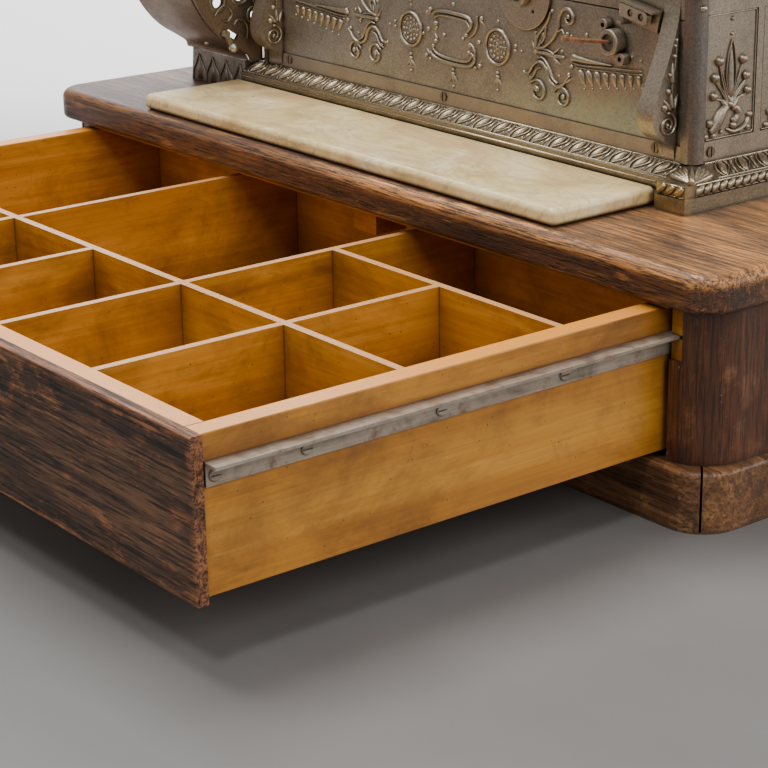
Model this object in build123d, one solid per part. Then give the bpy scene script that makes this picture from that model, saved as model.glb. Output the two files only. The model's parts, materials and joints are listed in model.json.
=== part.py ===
from build123d import *
from math import atan2, cos, degrees, hypot, sin
import os

# A wide cash register: a nickel-plated case on an oak base with a cash drawer.
# Millimetres. +X is the operator's right, -Y the operator's side, +Z up.
# The origin is the centre of the base's underside. At rest the drawer is open.

# ---- Driving dimensions -------------------------------------------------------------------
BASE_WIDTH = 800.0
BASE_DEPTH = 466.8
PLINTH_HEIGHT = 42.0
PLINTH_BOARD = 60.0
PLINTH_CORNER = 30.0
PLINTH_CRACK = 1.8
FLOOR_THICK = 12.0
OPENING_TOP = 148.0
TOP_Z = 173.6
TOP_CORNER = 25.0
POST_INSET = 9.0
POST_INNER = 358.0
POST_LENGTH = 74.0
POST_CORNER = 32.0
NOTCH_FLOOR = 111.0
NOTCH_SIDE = 368.0
REAR_BOARD = 12.0
FRONT_RAIL_HEIGHT = 2.8

DRAWER_OPEN = 360.0
DRAWER_FACE_Y = -587.0
DRAWER_FACE_HALF = 354.5
DRAWER_FACE_THICK = 8.0
DRAWER_HALF = 353.0
DRAWER_SIDE = 16.0
DRAWER_INNER_FRONT = 12.6
DRAWER_REAR_Y = -151.0
DRAWER_BACK = 13.5
DRAWER_LOW = 47.4
DRAWER_TOP = 144.5
DRAWER_FLOOR_Z = 50.0
DRAWER_FLOOR = 6.0
DIVIDER = 6.0
DIVIDER_TOP = 141.0
CROSS_FRONT_Y = -421.0
CROSS_REAR_Y = -293.6
SMALL_BILL_X = 93.5
LARGE_BILL_X = -132.0
FRONT_DIVIDERS_X = (-247.5, -133.5, -20.1, 93.5, 211.7)
COIN_DIVIDER_X = 211.7

LATCH_HALF = 10.0
LATCH_Y = (158.0, 166.0)
LATCH_LOW = 150.0
LATCH_LENGTH = 65.0
STRIKE_Z = (116.0, 138.0)

RAIL_LEG = 14.6
RAIL_TOP = 128.0
RAIL_FLANGE = 12.0
RAIL_THICK = 2.0
RAIL_SCREWS_Y = (-572.0, -509.6, -411.0, -312.5, -205.0)
GUIDE_GAP = 0.3

SLAB = (-266.0, 244.0, -222.0, -127.3)
SLAB_THICK = 12.7
SLAB_CORNER = 5.5
SLAB_NOSE = 4.6

CASE_LEFT = -250.0
CASE_RIGHT = 261.0
CASE_FRONT = -108.4
CASE_BACK = 190.0
SHEET = 4.0
MOULD_OUT = 18.9
MOULD_STEP = 2.0
BASE_WALL = 14.0
FILLET_HEIGHT = 10.9
BEAD_HEIGHT = 8.6
CASE_Z = 202.1
CORNER_BLOCK = (244.5, 280.0)
CORNER_PROUD = 6.6
STRIP_HEIGHT = 11.0
STRIP_PROUD = 1.4
PANEL_TOP = 299.6
PILASTER = 9.0
PILASTER_PROUD = 2.6
SILL_Z = 318.0
SILL_TOP = 332.0
SILL_OUT = 7.0
SIDE_FRAME_Y = (-100.0, -44.0, 22.0, 88.0, 154.0)
FIELD_DEPTH = 1.2
BRACKET_SETBACK = 15.0
BRACKET_WIDTH = 15.0
SCREW_RADIUS = 3.6
SCREW_PROUD = 1.2

KEYBOARD_LOW = (-104.4, 332.0)
KEYBOARD_HIGH = (-4.0, 416.0)
KEY_ROWS = ((34.0, (-128.0, -64.0, 0.0, 64.0, 128.0)), (88.0, (-96.0, -32.0, 32.0, 96.0)))
KEY_TRAVEL = 9.0
KEY_STEM = 3.0
KEY_HOLE = 4.0
KEY_CAP = 13.0
KEY_CAP_THICK = 5.0
KEY_OUT = 22.0
KEY_IN = 30.0

HOOD_TOP = 560.0
HOOD_ROUND = 36.0
WINDOW_FRONT = (470.0, 522.0)
WINDOW_REAR = (456.0, 512.0)
WINDOW_HALF = 176.0
REAR_SPLIT = 440.0
TABLET = (13.0, 40.0, 1.6)
TABLET_Y = 60.0
TABLET_LOW = 426.0
ROD_RADIUS = 2.0
ROD_LOW = 352.0
COMB_Z = (396.0, 404.0)
COMB_HALF = 8.0
PANE = 3.0
SIGN_Y = (56.0, 72.0)
SIGN_STEP = (150.0, 26.0, 8.0)
SIGN_HALF = 126.0
SIGN_SHOULDER = 44.0
SIGN_CREST = 74.0

BAY = (-350.0, -250.0)
CHEEK = 3.6
COVER = 1.6
COVER_GAP = 3.0
COVER_STEPS = 24
BAY_FOOT_FRONT = (-121.5, 202.6)
BAY_LIP = (-140.0, 372.0)
CHEEK_HOLES = (
    (-117.4, 242.5, 3.8), (-154.0, 257.0, 5.0), (-131.0, 262.0, 6.5),
    (-166.0, 290.0, 7.0), (-138.0, 294.0, 8.0),
)
CHEEK_SLOT = (-140.5, 228.2, 12.0, 5.0, -34.0)
BAY_BACK = 30.0
BAY_TOP = 372.0
BAY_FLOOR = 300.0
BAY_HINGE = (22.0, 366.0)
HINGE_PIN = 2.5
ROLL_CENTRE = (-112.0, 334.0)
ROLL_RADIUS = 25.0
SPINDLE = 4.0
RUNNING = 0.05
FOOT = (-349.0, -260.0, -121.5, -60.0)
HOOK = (-149.0, 230.0)
HOOK_LEAN = 27.0
HOOK_LENGTH = 13.8

ESCUTCHEON = (88.3, 301.0)
ESCUTCHEON_RADIUS = 28.0
ESCUTCHEON_PROUD = 3.0
SMALL_LOCK = (185.3, 277.7)
LUG_OFFSET = (8.8, 11.0)
LUG_RADIUS = 4.4
LUG_HOLE = 1.8
LUG_PROUD = 6.6
COLLAR_RADIUS = 9.4
COLLAR_PROUD = 10.0
PLUG = 6.2
PLUG_RECESS = 3.0
KEY_TILT = 10.0
KEY_SHANK = 31.0
KEY_BOW = 8.0
HASP_PIN = (199.0, -117.0, 303.4)
HASP_TILT = 10.0
HASP_PIN_RADIUS = 1.2

BELL = (-150.0, 110.0, 196.0)
BELL_RADIUS = 26.0
BELL_SHELL = 1.6
COUNTER = (-60.0, 262.0)
COUNTER_WHEEL = 17.0
COUNTER_PITCH = 14.0

WOOD_X = BASE_WIDTH / 2
WOOD_Y = BASE_DEPTH / 2
POST_X = WOOD_X - POST_INSET
POST_Y = WOOD_Y - POST_INSET
CASE_MID = (CASE_LEFT + CASE_RIGHT) / 2


# ---- Helpers ------------------------------------------------------------------------------
def block(x0, x1, y0, y1, z0, z1):
    """A box between two corners."""
    return Pos((x0 + x1) / 2, (y0 + y1) / 2, (z0 + z1) / 2) * Box(x1 - x0, y1 - y0, z1 - z0)


def rod_x(x0, x1, y, z, radius):
    """A cylinder along X."""
    return Pos((x0 + x1) / 2, y, z) * Rot(0, 90, 0) * Cylinder(radius, x1 - x0)


def rod_y(x, y0, y1, z, radius):
    """A cylinder along Y."""
    return Pos(x, (y0 + y1) / 2, z) * Rot(90, 0, 0) * Cylinder(radius, y1 - y0)


def rod_z(x, y, z0, z1, radius):
    """A cylinder along Z."""
    return Pos(x, y, (z0 + z1) / 2) * Cylinder(radius, z1 - z0)


def plan(points, z0, z1):
    """A prism standing on a polygon in plan."""
    outline = make_face(Polyline(*points, close=True))
    return Pos(0, 0, z0) * extrude(outline, z1 - z0)


def profile(lines, x0, x1):
    """A prism along X from closed lines drawn as (y, z)."""
    face = Plane.YZ * make_face(lines)
    return Pos(x0, 0, 0) * extrude(face, x1 - x0, dir=(1, 0, 0))


def polygon(points):
    """Closed straight lines."""
    return Polyline(*points, close=True)


def rounded_slab(x0, x1, y0, y1, z0, z1, radius):
    """A board with rounded corners in plan."""
    board = RectangleRounded(x1 - x0, y1 - y0, radius)
    return Pos((x0 + x1) / 2, (y0 + y1) / 2, z0) * extrude(board, z1 - z0)


def mirrored(shape):
    """The same shape on the other side of the YZ plane."""
    return mirror(shape, Plane.YZ)


def group(shapes):
    """Several separate solids in one node."""
    return Compound(children=[solid for shape in shapes for solid in shape.solids()])


def save(shape, node):
    """Write one sub-part."""
    shape.label = node
    export_step(shape, f"parts/{node}.step")


# ---- Oak base -----------------------------------------------------------------------------
def top_board():
    """The oak top, with a round nose and a slot for the drawer latch."""
    board = rounded_slab(-WOOD_X, WOOD_X, -WOOD_Y, WOOD_Y, OPENING_TOP, TOP_Z, TOP_CORNER)
    rim = board.faces().sort_by(Axis.Z)[-1].edges()
    board = fillet(rim, 8.0)
    rim = board.faces().sort_by(Axis.Z)[0].edges()
    board = fillet(rim, 4.0)
    half = LATCH_HALF + 2
    slot = block(-half, half, LATCH_Y[0] - 2, LATCH_Y[1] + 2, OPENING_TOP - 1, TOP_Z + 1)
    return board - slot


def plinth_boards():
    """Four mitred boards with rounded outer corners; one mitre has opened."""
    whole = rounded_slab(-WOOD_X, WOOD_X, -WOOD_Y, WOOD_Y, 0, PLINTH_HEIGHT, PLINTH_CORNER)
    whole = fillet(whole.faces().sort_by(Axis.Z)[-1].edges(), 3.0)
    inner_x = WOOD_X - PLINTH_BOARD
    inner_y = WOOD_Y - PLINTH_BOARD
    boards = []
    for index in range(4):
        turn = 90 * index
        reach = WOOD_Y if index % 2 == 0 else WOOD_X
        half = WOOD_X if index % 2 == 0 else WOOD_Y
        inside = inner_x if index % 2 == 0 else inner_y
        open_end = PLINTH_CRACK if index == 0 else 0.3
        points = [
            (-half + 0.3, -reach), (half - open_end, -reach),
            (inside - open_end, -reach + PLINTH_BOARD), (-inside + 0.3, -reach + PLINTH_BOARD),
        ]
        wedge = Rot(0, 0, turn) * plan(points, 0, PLINTH_HEIGHT)
        boards.append(whole & wedge)
    return group(boards)


def base_board():
    """The floor of the base, let in flush with the plinth's underside."""
    x = WOOD_X - PLINTH_BOARD
    y = WOOD_Y - PLINTH_BOARD
    return block(-x, x, -y, y, 0, FLOOR_THICK)


def corner_post():
    """One rounded corner column, notched for the drawer guide."""
    front = -POST_Y
    rear = front + POST_LENGTH
    bend_x = POST_X - POST_CORNER
    bend_y = front + POST_CORNER
    lines = [
        Line((POST_INNER, front), (bend_x, front)),
        RadiusArc((bend_x, front), (POST_X, bend_y), -POST_CORNER),
        Polyline((POST_X, bend_y), (POST_X, rear), (POST_INNER, rear), (POST_INNER, front)),
    ]
    column = Pos(0, 0, PLINTH_HEIGHT) * extrude(make_face(lines), OPENING_TOP - PLINTH_HEIGHT)
    return column - block(POST_INNER - 1, NOTCH_SIDE, front - 1, rear + 1, NOTCH_FLOOR, OPENING_TOP + 1)


def corner_posts():
    front_right = corner_post()
    rear_right = mirror(front_right, Plane.XZ)
    return group([front_right, mirrored(front_right), rear_right, mirrored(rear_right)])


def side_boards():
    length = POST_Y - POST_LENGTH
    right = block(NOTCH_SIDE, POST_X, -length, length, PLINTH_HEIGHT, OPENING_TOP)
    return group([right, mirrored(right)])


def rear_board():
    return block(-POST_INNER, POST_INNER, POST_Y - REAR_BOARD, POST_Y, PLINTH_HEIGHT, OPENING_TOP)


def drawer_guides():
    """A runner under each drawer rail and a kicker over it."""
    y0 = -POST_Y + 2
    y1 = POST_Y - REAR_BOARD - 4
    runner_top = RAIL_TOP - RAIL_THICK - GUIDE_GAP
    runner = block(POST_INNER, NOTCH_SIDE, y0, y1, NOTCH_FLOOR, runner_top)
    kicker = block(POST_INNER, NOTCH_SIDE, y0, y1, RAIL_TOP + GUIDE_GAP, OPENING_TOP)
    return group([runner, kicker, mirrored(runner), mirrored(kicker)])


def front_rail():
    """A thin pine strip under the top's front edge."""
    low = OPENING_TOP - FRONT_RAIL_HEIGHT
    return block(-POST_INNER, POST_INNER, -POST_Y - 2, -POST_Y + 24, low, OPENING_TOP)


def marble_slab():
    """The slab in front of the case, nosed on three sides and square at the back."""
    slab = block(*SLAB, TOP_Z, TOP_Z + SLAB_THICK)
    slab = fillet(slab.edges().filter_by(Axis.Z).group_by(Axis.Y)[0], SLAB_CORNER)
    for level in (-1, 0):
        rim = slab.faces().sort_by(Axis.Z)[level].edges().sort_by(Axis.Y)[:-1]
        slab = fillet(rim, SLAB_NOSE)
    return slab


# ---- Cash drawer --------------------------------------------------------------------------
FRONT_BACK_Y = DRAWER_FACE_Y + DRAWER_FACE_THICK
INNER_FRONT_Y = FRONT_BACK_Y + DRAWER_INNER_FRONT
INNER_BACK_Y = DRAWER_REAR_Y - DRAWER_BACK
INNER_X = DRAWER_HALF - DRAWER_SIDE
DIVIDER_LOW = DRAWER_FLOOR_Z + DRAWER_FLOOR


def drawer_front():
    half = DRAWER_FACE_HALF
    face = block(-half, half, DRAWER_FACE_Y, FRONT_BACK_Y, PLINTH_HEIGHT + 1, DRAWER_TOP)
    return fillet(face.edges().filter_by(Axis.X).group_by(Axis.Y)[0], 1.2)


def drawer_inner_front():
    return block(-INNER_X, INNER_X, FRONT_BACK_Y, INNER_FRONT_Y, DRAWER_LOW, DRAWER_TOP)


def drawer_sides():
    right = block(INNER_X, DRAWER_HALF, FRONT_BACK_Y, DRAWER_REAR_Y, DRAWER_LOW, DRAWER_TOP)
    right = fillet(right.edges().filter_by(Axis.Y).group_by(Axis.Z)[-1], 1.0)
    return group([right, mirrored(right)])


def drawer_back():
    """The back board with the block that the latch drops in front of."""
    strike_y = LATCH_Y[1] + 0.8 - DRAWER_OPEN
    strike = block(-LATCH_HALF - 4, LATCH_HALF + 4, strike_y, INNER_BACK_Y, *STRIKE_Z)
    return strike + block(-INNER_X, INNER_X, INNER_BACK_Y, DRAWER_REAR_Y, DRAWER_LOW, DRAWER_TOP)


def drawer_bottom():
    return block(-INNER_X, INNER_X, INNER_FRONT_Y, INNER_BACK_Y, DRAWER_FLOOR_Z, DIVIDER_LOW)




def cross_dividers():
    half = DIVIDER / 2
    boards = []
    for x0, y in ((-INNER_X, CROSS_FRONT_Y), (SMALL_BILL_X + half, CROSS_REAR_Y)):
        boards.append(block(x0, INNER_X, y - half, y + half, DIVIDER_LOW, DIVIDER_TOP))
    return group(boards)


def long_divider(x, y0, y1):
    return block(x - DIVIDER / 2, x + DIVIDER / 2, y0, y1, DIVIDER_LOW, DIVIDER_TOP)


def long_dividers():
    half = DIVIDER / 2
    row_end = CROSS_FRONT_Y - half
    rear_start = CROSS_FRONT_Y + half
    boards = [long_divider(x, INNER_FRONT_Y, row_end) for x in FRONT_DIVIDERS_X]
    boards.append(long_divider(SMALL_BILL_X, rear_start, INNER_BACK_Y))
    boards.append(long_divider(LARGE_BILL_X, rear_start, INNER_BACK_Y))
    boards.append(long_divider(COIN_DIVIDER_X, rear_start, CROSS_REAR_Y - half))
    return group(boards)


def slide_rails():
    """An L-section steel rail on each side of the drawer."""
    y0 = FRONT_BACK_Y + 1
    y1 = DRAWER_REAR_Y - 5
    leg = block(DRAWER_HALF, DRAWER_HALF + RAIL_THICK, y0, y1, RAIL_TOP - RAIL_LEG, RAIL_TOP)
    flange = block(DRAWER_HALF, DRAWER_HALF + RAIL_FLANGE, y0, y1, RAIL_TOP - RAIL_THICK, RAIL_TOP)
    right = leg + flange
    return group([right, mirrored(right)])


def rail_screws():
    """Round-headed slotted screws through the rails."""
    heads = []
    x = DRAWER_HALF + RAIL_THICK
    z = RAIL_TOP - RAIL_LEG / 2 - 1
    for y in RAIL_SCREWS_Y:
        head = rod_x(x, x + 1.6, y, z, 4.0)
        head = fillet(head.edges().sort_by(Axis.X)[-1], 1.2)
        head -= block(x + 0.9, x + 2, y - 5, y + 5, z - 0.5, z + 0.5)
        heads += [head, mirrored(head)]
    return group(heads)


# ---- Metal case ---------------------------------------------------------------------------
def case_layer(z0, z1, out_low, out_high):
    """One layer of the base moulding, possibly sloping inwards."""
    width = CASE_RIGHT - CASE_LEFT
    depth = CASE_BACK - CASE_FRONT
    low = Pos(0, 0, z0) * Rectangle(width + 2 * out_low, depth + 2 * out_low)
    high = Pos(0, 0, z1) * Rectangle(width + 2 * out_high, depth + 2 * out_high)
    return Pos(CASE_MID, (CASE_FRONT + CASE_BACK) / 2, 0) * loft([low, high])


def case_base():
    """The cast ring under the case: fillet, bead, sloping band and corner block."""
    bead_z = TOP_Z + FILLET_HEIGHT
    band_z = bead_z + BEAD_HEIGHT
    bead_out = MOULD_OUT - MOULD_STEP
    ring = case_layer(TOP_Z, bead_z, MOULD_OUT, MOULD_OUT)
    ring += case_layer(bead_z, band_z, bead_out, bead_out)
    ring += case_layer(band_z, CASE_Z, bead_out, 0.3)
    x0, x1 = CORNER_BLOCK
    y0 = CASE_FRONT - MOULD_OUT
    for z0, z1, inset in ((TOP_Z, bead_z, 0.0), (bead_z, band_z, MOULD_STEP)):
        points = [
            (x0 + inset, y0 + inset), (x0 + CORNER_PROUD, y0 - CORNER_PROUD + inset),
            (x1 - inset, y0 - CORNER_PROUD + inset), (x1 - inset, y0 + BASE_WALL),
            (x0 + inset, y0 + BASE_WALL),
        ]
        ring += plan(points, z0, z1)
    low = TOP_Z - 1
    high = CASE_Z + 1
    wall = BASE_WALL
    ring -= block(CASE_LEFT + wall, CASE_RIGHT - wall, CASE_FRONT + wall, CASE_BACK - wall, low, high)
    return ring - block(CASE_LEFT - MOULD_OUT - 1, FOOT[1], CASE_FRONT - MOULD_OUT - 1, FOOT[3], low, high)


def bay_foot():
    """The pedestal under the paper bay."""
    x0, x1, y0, y1 = FOOT
    chamfer_x = x0 + 5
    chamfer_y = y0 + 5
    low = [(chamfer_x, y0), (x1, y0), (x1, y1), (x0, y1), (x0, chamfer_y)]
    flare = 3.0
    high = [(chamfer_x + flare, y0), (x1, y0), (x1, y1), (x0 + flare, y1), (x0 + flare, chamfer_y)]
    faces = [Pos(0, 0, z) * make_face(polygon(points)) for points, z in ((low, TOP_Z), (high, CASE_Z))]
    return loft(faces)


def plug_hole(x, z):
    """The hole in the front sheets for a lock plug."""
    return rod_y(x, CASE_FRONT - 3, CASE_FRONT + SHEET + 1, z, PLUG + 1.5)


def front_panel():
    """The lower front sheet with its plain strip and the bosses' seats."""
    x0 = CASE_LEFT + PILASTER
    x1 = CASE_RIGHT - PILASTER
    panel = block(x0, x1, CASE_FRONT, CASE_FRONT + SHEET, CASE_Z, PANEL_TOP)
    panel += block(x0, x1, CASE_FRONT - STRIP_PROUD, CASE_FRONT, CASE_Z, CASE_Z + STRIP_HEIGHT)
    for place in (ESCUTCHEON, SMALL_LOCK):
        panel -= plug_hole(*place)
    return panel


def hood_curve(inset):
    """The hood's section from its lower front edge over the top and down its back."""
    front = KEYBOARD_HIGH[0] + inset
    back = CASE_BACK - inset
    top = HOOD_TOP - inset
    bend = HOOD_TOP - HOOD_ROUND
    radius = HOOD_ROUND - inset
    return [
        Line((front, KEYBOARD_HIGH[1] + 1), (front, bend)),
        RadiusArc((front, bend), (front + radius, top), radius),
        Line((front + radius, top), (back - radius, top)),
        RadiusArc((back - radius, top), (back, bend), radius),
        Line((back, bend), (back, REAR_SPLIT)),
    ]


def side_outline():
    """The side sheet's outline, from the lower case up round the hood."""
    front = CASE_FRONT + PILASTER
    back = CASE_BACK - PILASTER
    lower = [(CASE_BACK, SILL_TOP), (back, SILL_TOP), (back, CASE_Z), (front, CASE_Z), (front, SILL_TOP)]
    keyboard = [(KEYBOARD_LOW[0], SILL_TOP), KEYBOARD_HIGH]
    hood_line = hood_curve(0.0)
    return [Polyline(hood_line[-1] @ 1, *lower, *keyboard, hood_line[0] @ 0)] + hood_line


def side_panel(x0, x1, outer):
    """One side sheet with recessed fields between raised stiles."""
    panel = profile(side_outline(), x0, x1)
    for near, far in zip(SIDE_FRAME_Y[:-1], SIDE_FRAME_Y[1:]):
        low = CASE_Z + BASE_WALL
        high = SILL_Z - BASE_WALL
        panel -= block(outer - FIELD_DEPTH, outer + FIELD_DEPTH, near + 3, far - 3, low, high)
    return panel


def side_panels():
    left = side_panel(CASE_LEFT, CASE_LEFT + SHEET, CASE_LEFT)
    right = side_panel(CASE_RIGHT - SHEET, CASE_RIGHT, CASE_RIGHT)
    return group([left, right])


def rear_panel():
    x0 = CASE_LEFT + PILASTER
    x1 = CASE_RIGHT - PILASTER
    lower = block(x0, x1, CASE_BACK - SHEET, CASE_BACK, CASE_Z, SILL_Z)
    inner0 = CASE_LEFT + SHEET
    inner1 = CASE_RIGHT - SHEET
    upper = block(inner0, inner1, CASE_BACK - SHEET, CASE_BACK, SILL_TOP, REAR_SPLIT)
    return group([lower, upper])


def console_bracket(x0, x1):
    """A scroll bracket: flat on the panel, swelling to a volute, with a small foot."""
    y = CASE_FRONT
    strip_y = y - STRIP_PROUD
    strip_top = CASE_Z + STRIP_HEIGHT
    toe_y = strip_y - 1.0
    top = SILL_Z - 2
    curve = Spline(
        (y, top), (y - 6.0, 285.0), (y - 16.0, 260.0), (y - 23.6, 238.0), (y - 22.4, 228.0),
        (y - 14.0, 218.6), (y - 5.0, 213.2), (toe_y, 207.0),
    )
    toe = [(toe_y, 207.0), (toe_y, 204.0), (strip_y, 204.0)]
    back = Polyline(*toe, (strip_y, strip_top), (y, strip_top), (y, top))
    return profile([curve, back], x0, x1)


def console_brackets():
    right = CASE_RIGHT - BRACKET_SETBACK
    left = CASE_LEFT + BRACKET_SETBACK
    starts = (left, right - BRACKET_WIDTH)
    return group([console_bracket(x, x + BRACKET_WIDTH) for x in starts])


def corner_pilasters():
    """Four rounded uprights that join the sheets."""
    uprights = []
    reach = PILASTER + PILASTER_PROUD
    for x, side in ((CASE_LEFT, -1), (CASE_RIGHT, 1)):
        for y, face in ((CASE_FRONT, -1), (CASE_BACK, 1)):
            proud = PILASTER_PROUD if side > 0 else 0.0
            x0, x1 = sorted((x - side * PILASTER, x + side * proud))
            y0, y1 = sorted((y - face * PILASTER, y + face * PILASTER_PROUD))
            upright = block(x0, x1, y0, y1, CASE_Z, SILL_Z)
            outer = upright.edges().filter_by(Axis.Z).sort_by(lambda e: side * e.center().X)[-2:]
            corner = outer.sort_by(lambda e: face * e.center().Y)[-1]
            uprights.append(fillet(corner, reach * 0.55))
    return group(uprights)


def sill_moulding():
    """The frieze over the front sheet and the sill round the case."""
    x0 = CASE_LEFT - SILL_OUT
    x1 = CASE_RIGHT + SILL_OUT
    sheet_x = (CASE_LEFT + PILASTER, CASE_RIGHT - PILASTER)
    frieze = block(*sheet_x, CASE_FRONT, CASE_FRONT + SHEET, PANEL_TOP + 1, SILL_Z)
    frieze -= plug_hole(*ESCUTCHEON)
    front = block(x0, x1, CASE_FRONT - SILL_OUT, KEYBOARD_LOW[0], SILL_Z, SILL_TOP)
    front = fillet(front.edges().filter_by(Axis.X).group_by(Axis.Y)[0], 4.0)
    rear = block(x0, x1, CASE_BACK - SHEET, CASE_BACK + SILL_OUT, SILL_Z, SILL_TOP)
    rear = fillet(rear.edges().filter_by(Axis.X).group_by(Axis.Y)[-1], 4.0)
    bars = [frieze + front, rear]
    for low, high in ((CASE_RIGHT, x1), (x0, CASE_LEFT)):
        bars.append(block(low, high, KEYBOARD_LOW[0], CASE_BACK - SHEET, SILL_Z, SILL_TOP))
    low = SILL_Z - 1
    high = SILL_TOP + 1
    bars[-1] -= block(x0 - 1, CASE_LEFT + 1, CASE_FRONT, BAY_BACK + 1, low, high)
    bars[0] -= block(x0 - 1, CASE_LEFT, CASE_FRONT - SILL_OUT - 1, KEYBOARD_LOW[0] + 1, low, high)
    return group(bars)


SLOPE = atan2(KEYBOARD_HIGH[1] - KEYBOARD_LOW[1], KEYBOARD_HIGH[0] - KEYBOARD_LOW[0])
SLOPE_LENGTH = hypot(KEYBOARD_HIGH[0] - KEYBOARD_LOW[0], KEYBOARD_HIGH[1] - KEYBOARD_LOW[1])
NORMAL = (0.0, -sin(SLOPE), cos(SLOPE))


def key_places():
    """Where each key's stem crosses the keyboard plate's outer face."""
    places = []
    for along, offsets in KEY_ROWS:
        y = KEYBOARD_LOW[0] + along * cos(SLOPE)
        z = KEYBOARD_LOW[1] + along * sin(SLOPE)
        places += [(CASE_MID + offset, y, z) for offset in offsets]
    return sorted(places)


def along_normal(place, low, high, radius):
    """A cylinder square to the keyboard plate."""
    x, y, z = place
    middle = (low + high) / 2
    spot = Pos(x, y + NORMAL[1] * middle, z + NORMAL[2] * middle)
    return spot * Rot(degrees(SLOPE), 0, 0) * Cylinder(radius, high - low)


def keyboard_plate():
    """The sloping plate with a hole for each key stem."""
    inward_y = -NORMAL[1] * SHEET
    inward_z = -NORMAL[2] * SHEET
    low = KEYBOARD_LOW
    high = KEYBOARD_HIGH
    points = [low, high, (high[0] + inward_y, high[1] + inward_z), (low[0] + inward_y, low[1] + inward_z)]
    plate = profile(polygon(points), CASE_LEFT + SHEET, CASE_RIGHT - SHEET)
    for place in key_places():
        plate -= along_normal(place, -2 * SHEET, SHEET, KEY_HOLE)
    return plate


def key(place):
    """A round key cap on its stem."""
    stem = along_normal(place, -KEY_IN, KEY_OUT, KEY_STEM)
    cap = along_normal(place, KEY_OUT, KEY_OUT + KEY_CAP_THICK, KEY_CAP)
    return stem + fillet(cap.edges(), 1.2)


def hood():
    """The hood's wrapped sheet with front and rear window openings, and the rod comb."""
    x0 = CASE_LEFT + SHEET
    x1 = CASE_RIGHT - SHEET
    y0 = KEYBOARD_HIGH[0]
    y1 = CASE_BACK
    outer = hood_curve(0.0)
    inner = hood_curve(SHEET)
    ends = [Line(outer[0] @ 0, inner[0] @ 0), Line(outer[-1] @ 1, inner[-1] @ 1)]
    sheet = profile(outer + inner + ends, x0, x1)
    left = CASE_MID - WINDOW_HALF
    right = CASE_MID + WINDOW_HALF
    sheet -= block(left, right, y0 - 1, y0 + SHEET + 1, *WINDOW_FRONT)
    sheet -= block(left, right, y1 - SHEET - 1, y1 + 1, *WINDOW_REAR)
    comb = block(x0, x1, TABLET_Y - COMB_HALF, TABLET_Y + COMB_HALF, *COMB_Z)
    for x, _, _ in key_places():
        comb -= rod_z(x, TABLET_Y, COMB_Z[0] - 1, COMB_Z[1] + 1, ROD_RADIUS + RUNNING)
    return group([sheet, comb])


def window_panes():
    half = WINDOW_HALF + 4
    front_y = KEYBOARD_HIGH[0] + SHEET
    rear_y = CASE_BACK - SHEET - PANE
    panes = []
    for y, (low, high) in ((front_y, WINDOW_FRONT), (rear_y, WINDOW_REAR)):
        panes.append(block(CASE_MID - half, CASE_MID + half, y, y + PANE, low - 4, high + 2))
    return group(panes)


def top_sign():
    """A stepped plinth and an arched plate on top of the hood."""
    y0, y1 = SIGN_Y
    middle = (y0 + y1) / 2
    half_x, half_y, height = SIGN_STEP
    low = HOOD_TOP + height
    step = block(CASE_MID - half_x, CASE_MID + half_x, middle - half_y, middle + half_y, HOOD_TOP, low)
    step = fillet(step.faces().sort_by(Axis.Z)[-1].edges(), 3.0)
    left = CASE_MID - SIGN_HALF
    right = CASE_MID + SIGN_HALF
    shoulder = low + SIGN_SHOULDER
    crest = Spline(
        (right, shoulder), (right - 40, shoulder + 16), (CASE_MID, low + SIGN_CREST),
        (left + 40, shoulder + 16), (left, shoulder),
    )
    sides = Polyline((left, shoulder), (left, low), (right, low), (right, shoulder))
    plate = Plane.XZ * make_face([sides, crest])
    thick = y1 - y0 - 6
    return step + Pos(0, middle + thick / 2, 0) * extrude(plate, thick, dir=(0, -1, 0))


def tablet(x):
    """An indicator tablet on its push rod."""
    half, height, thick = TABLET
    flag = block(x - half, x + half, TABLET_Y - thick, TABLET_Y + thick, TABLET_LOW, TABLET_LOW + height)
    flag = fillet(flag.edges().filter_by(Axis.Y), 3.0)
    return flag + rod_z(x, TABLET_Y, ROD_LOW, TABLET_LOW + 1, ROD_RADIUS)


def case_screws():
    """Slotted screws along the bottom strips of the front and right side."""
    screws = []
    z = CASE_Z + STRIP_HEIGHT / 2 + 1
    y = CASE_FRONT - STRIP_PROUD
    for x in (CASE_LEFT + 40, -5.0, CASE_RIGHT - 34):
        head = rod_y(x, y - SCREW_PROUD, y, z, SCREW_RADIUS)
        head -= block(x - 0.5, x + 0.5, y - 2, y - 0.5, z - 5, z + 5)
        screws.append(head)
    for y in (CASE_FRONT + 18, 40.0, CASE_BACK - 18):
        head = rod_x(CASE_RIGHT, CASE_RIGHT + SCREW_PROUD, y, z, SCREW_RADIUS)
        head -= block(CASE_RIGHT + 0.5, CASE_RIGHT + 2, y - 0.5, y + 0.5, z - 5, z + 5)
        screws.append(head)
    return group(screws)


# ---- Locks and hasp -----------------------------------------------------------------------
def lock_collar(x, z, y_back):
    """A ring that the lock plug turns in."""
    y_front = CASE_FRONT - COLLAR_PROUD
    ring = rod_y(x, y_front, y_back, z, COLLAR_RADIUS)
    ring = fillet(ring.edges().group_by(Axis.Y)[0], 1.2)
    return ring - rod_y(x, y_front - 1, y_back + 1, z, PLUG + RUNNING)


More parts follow.
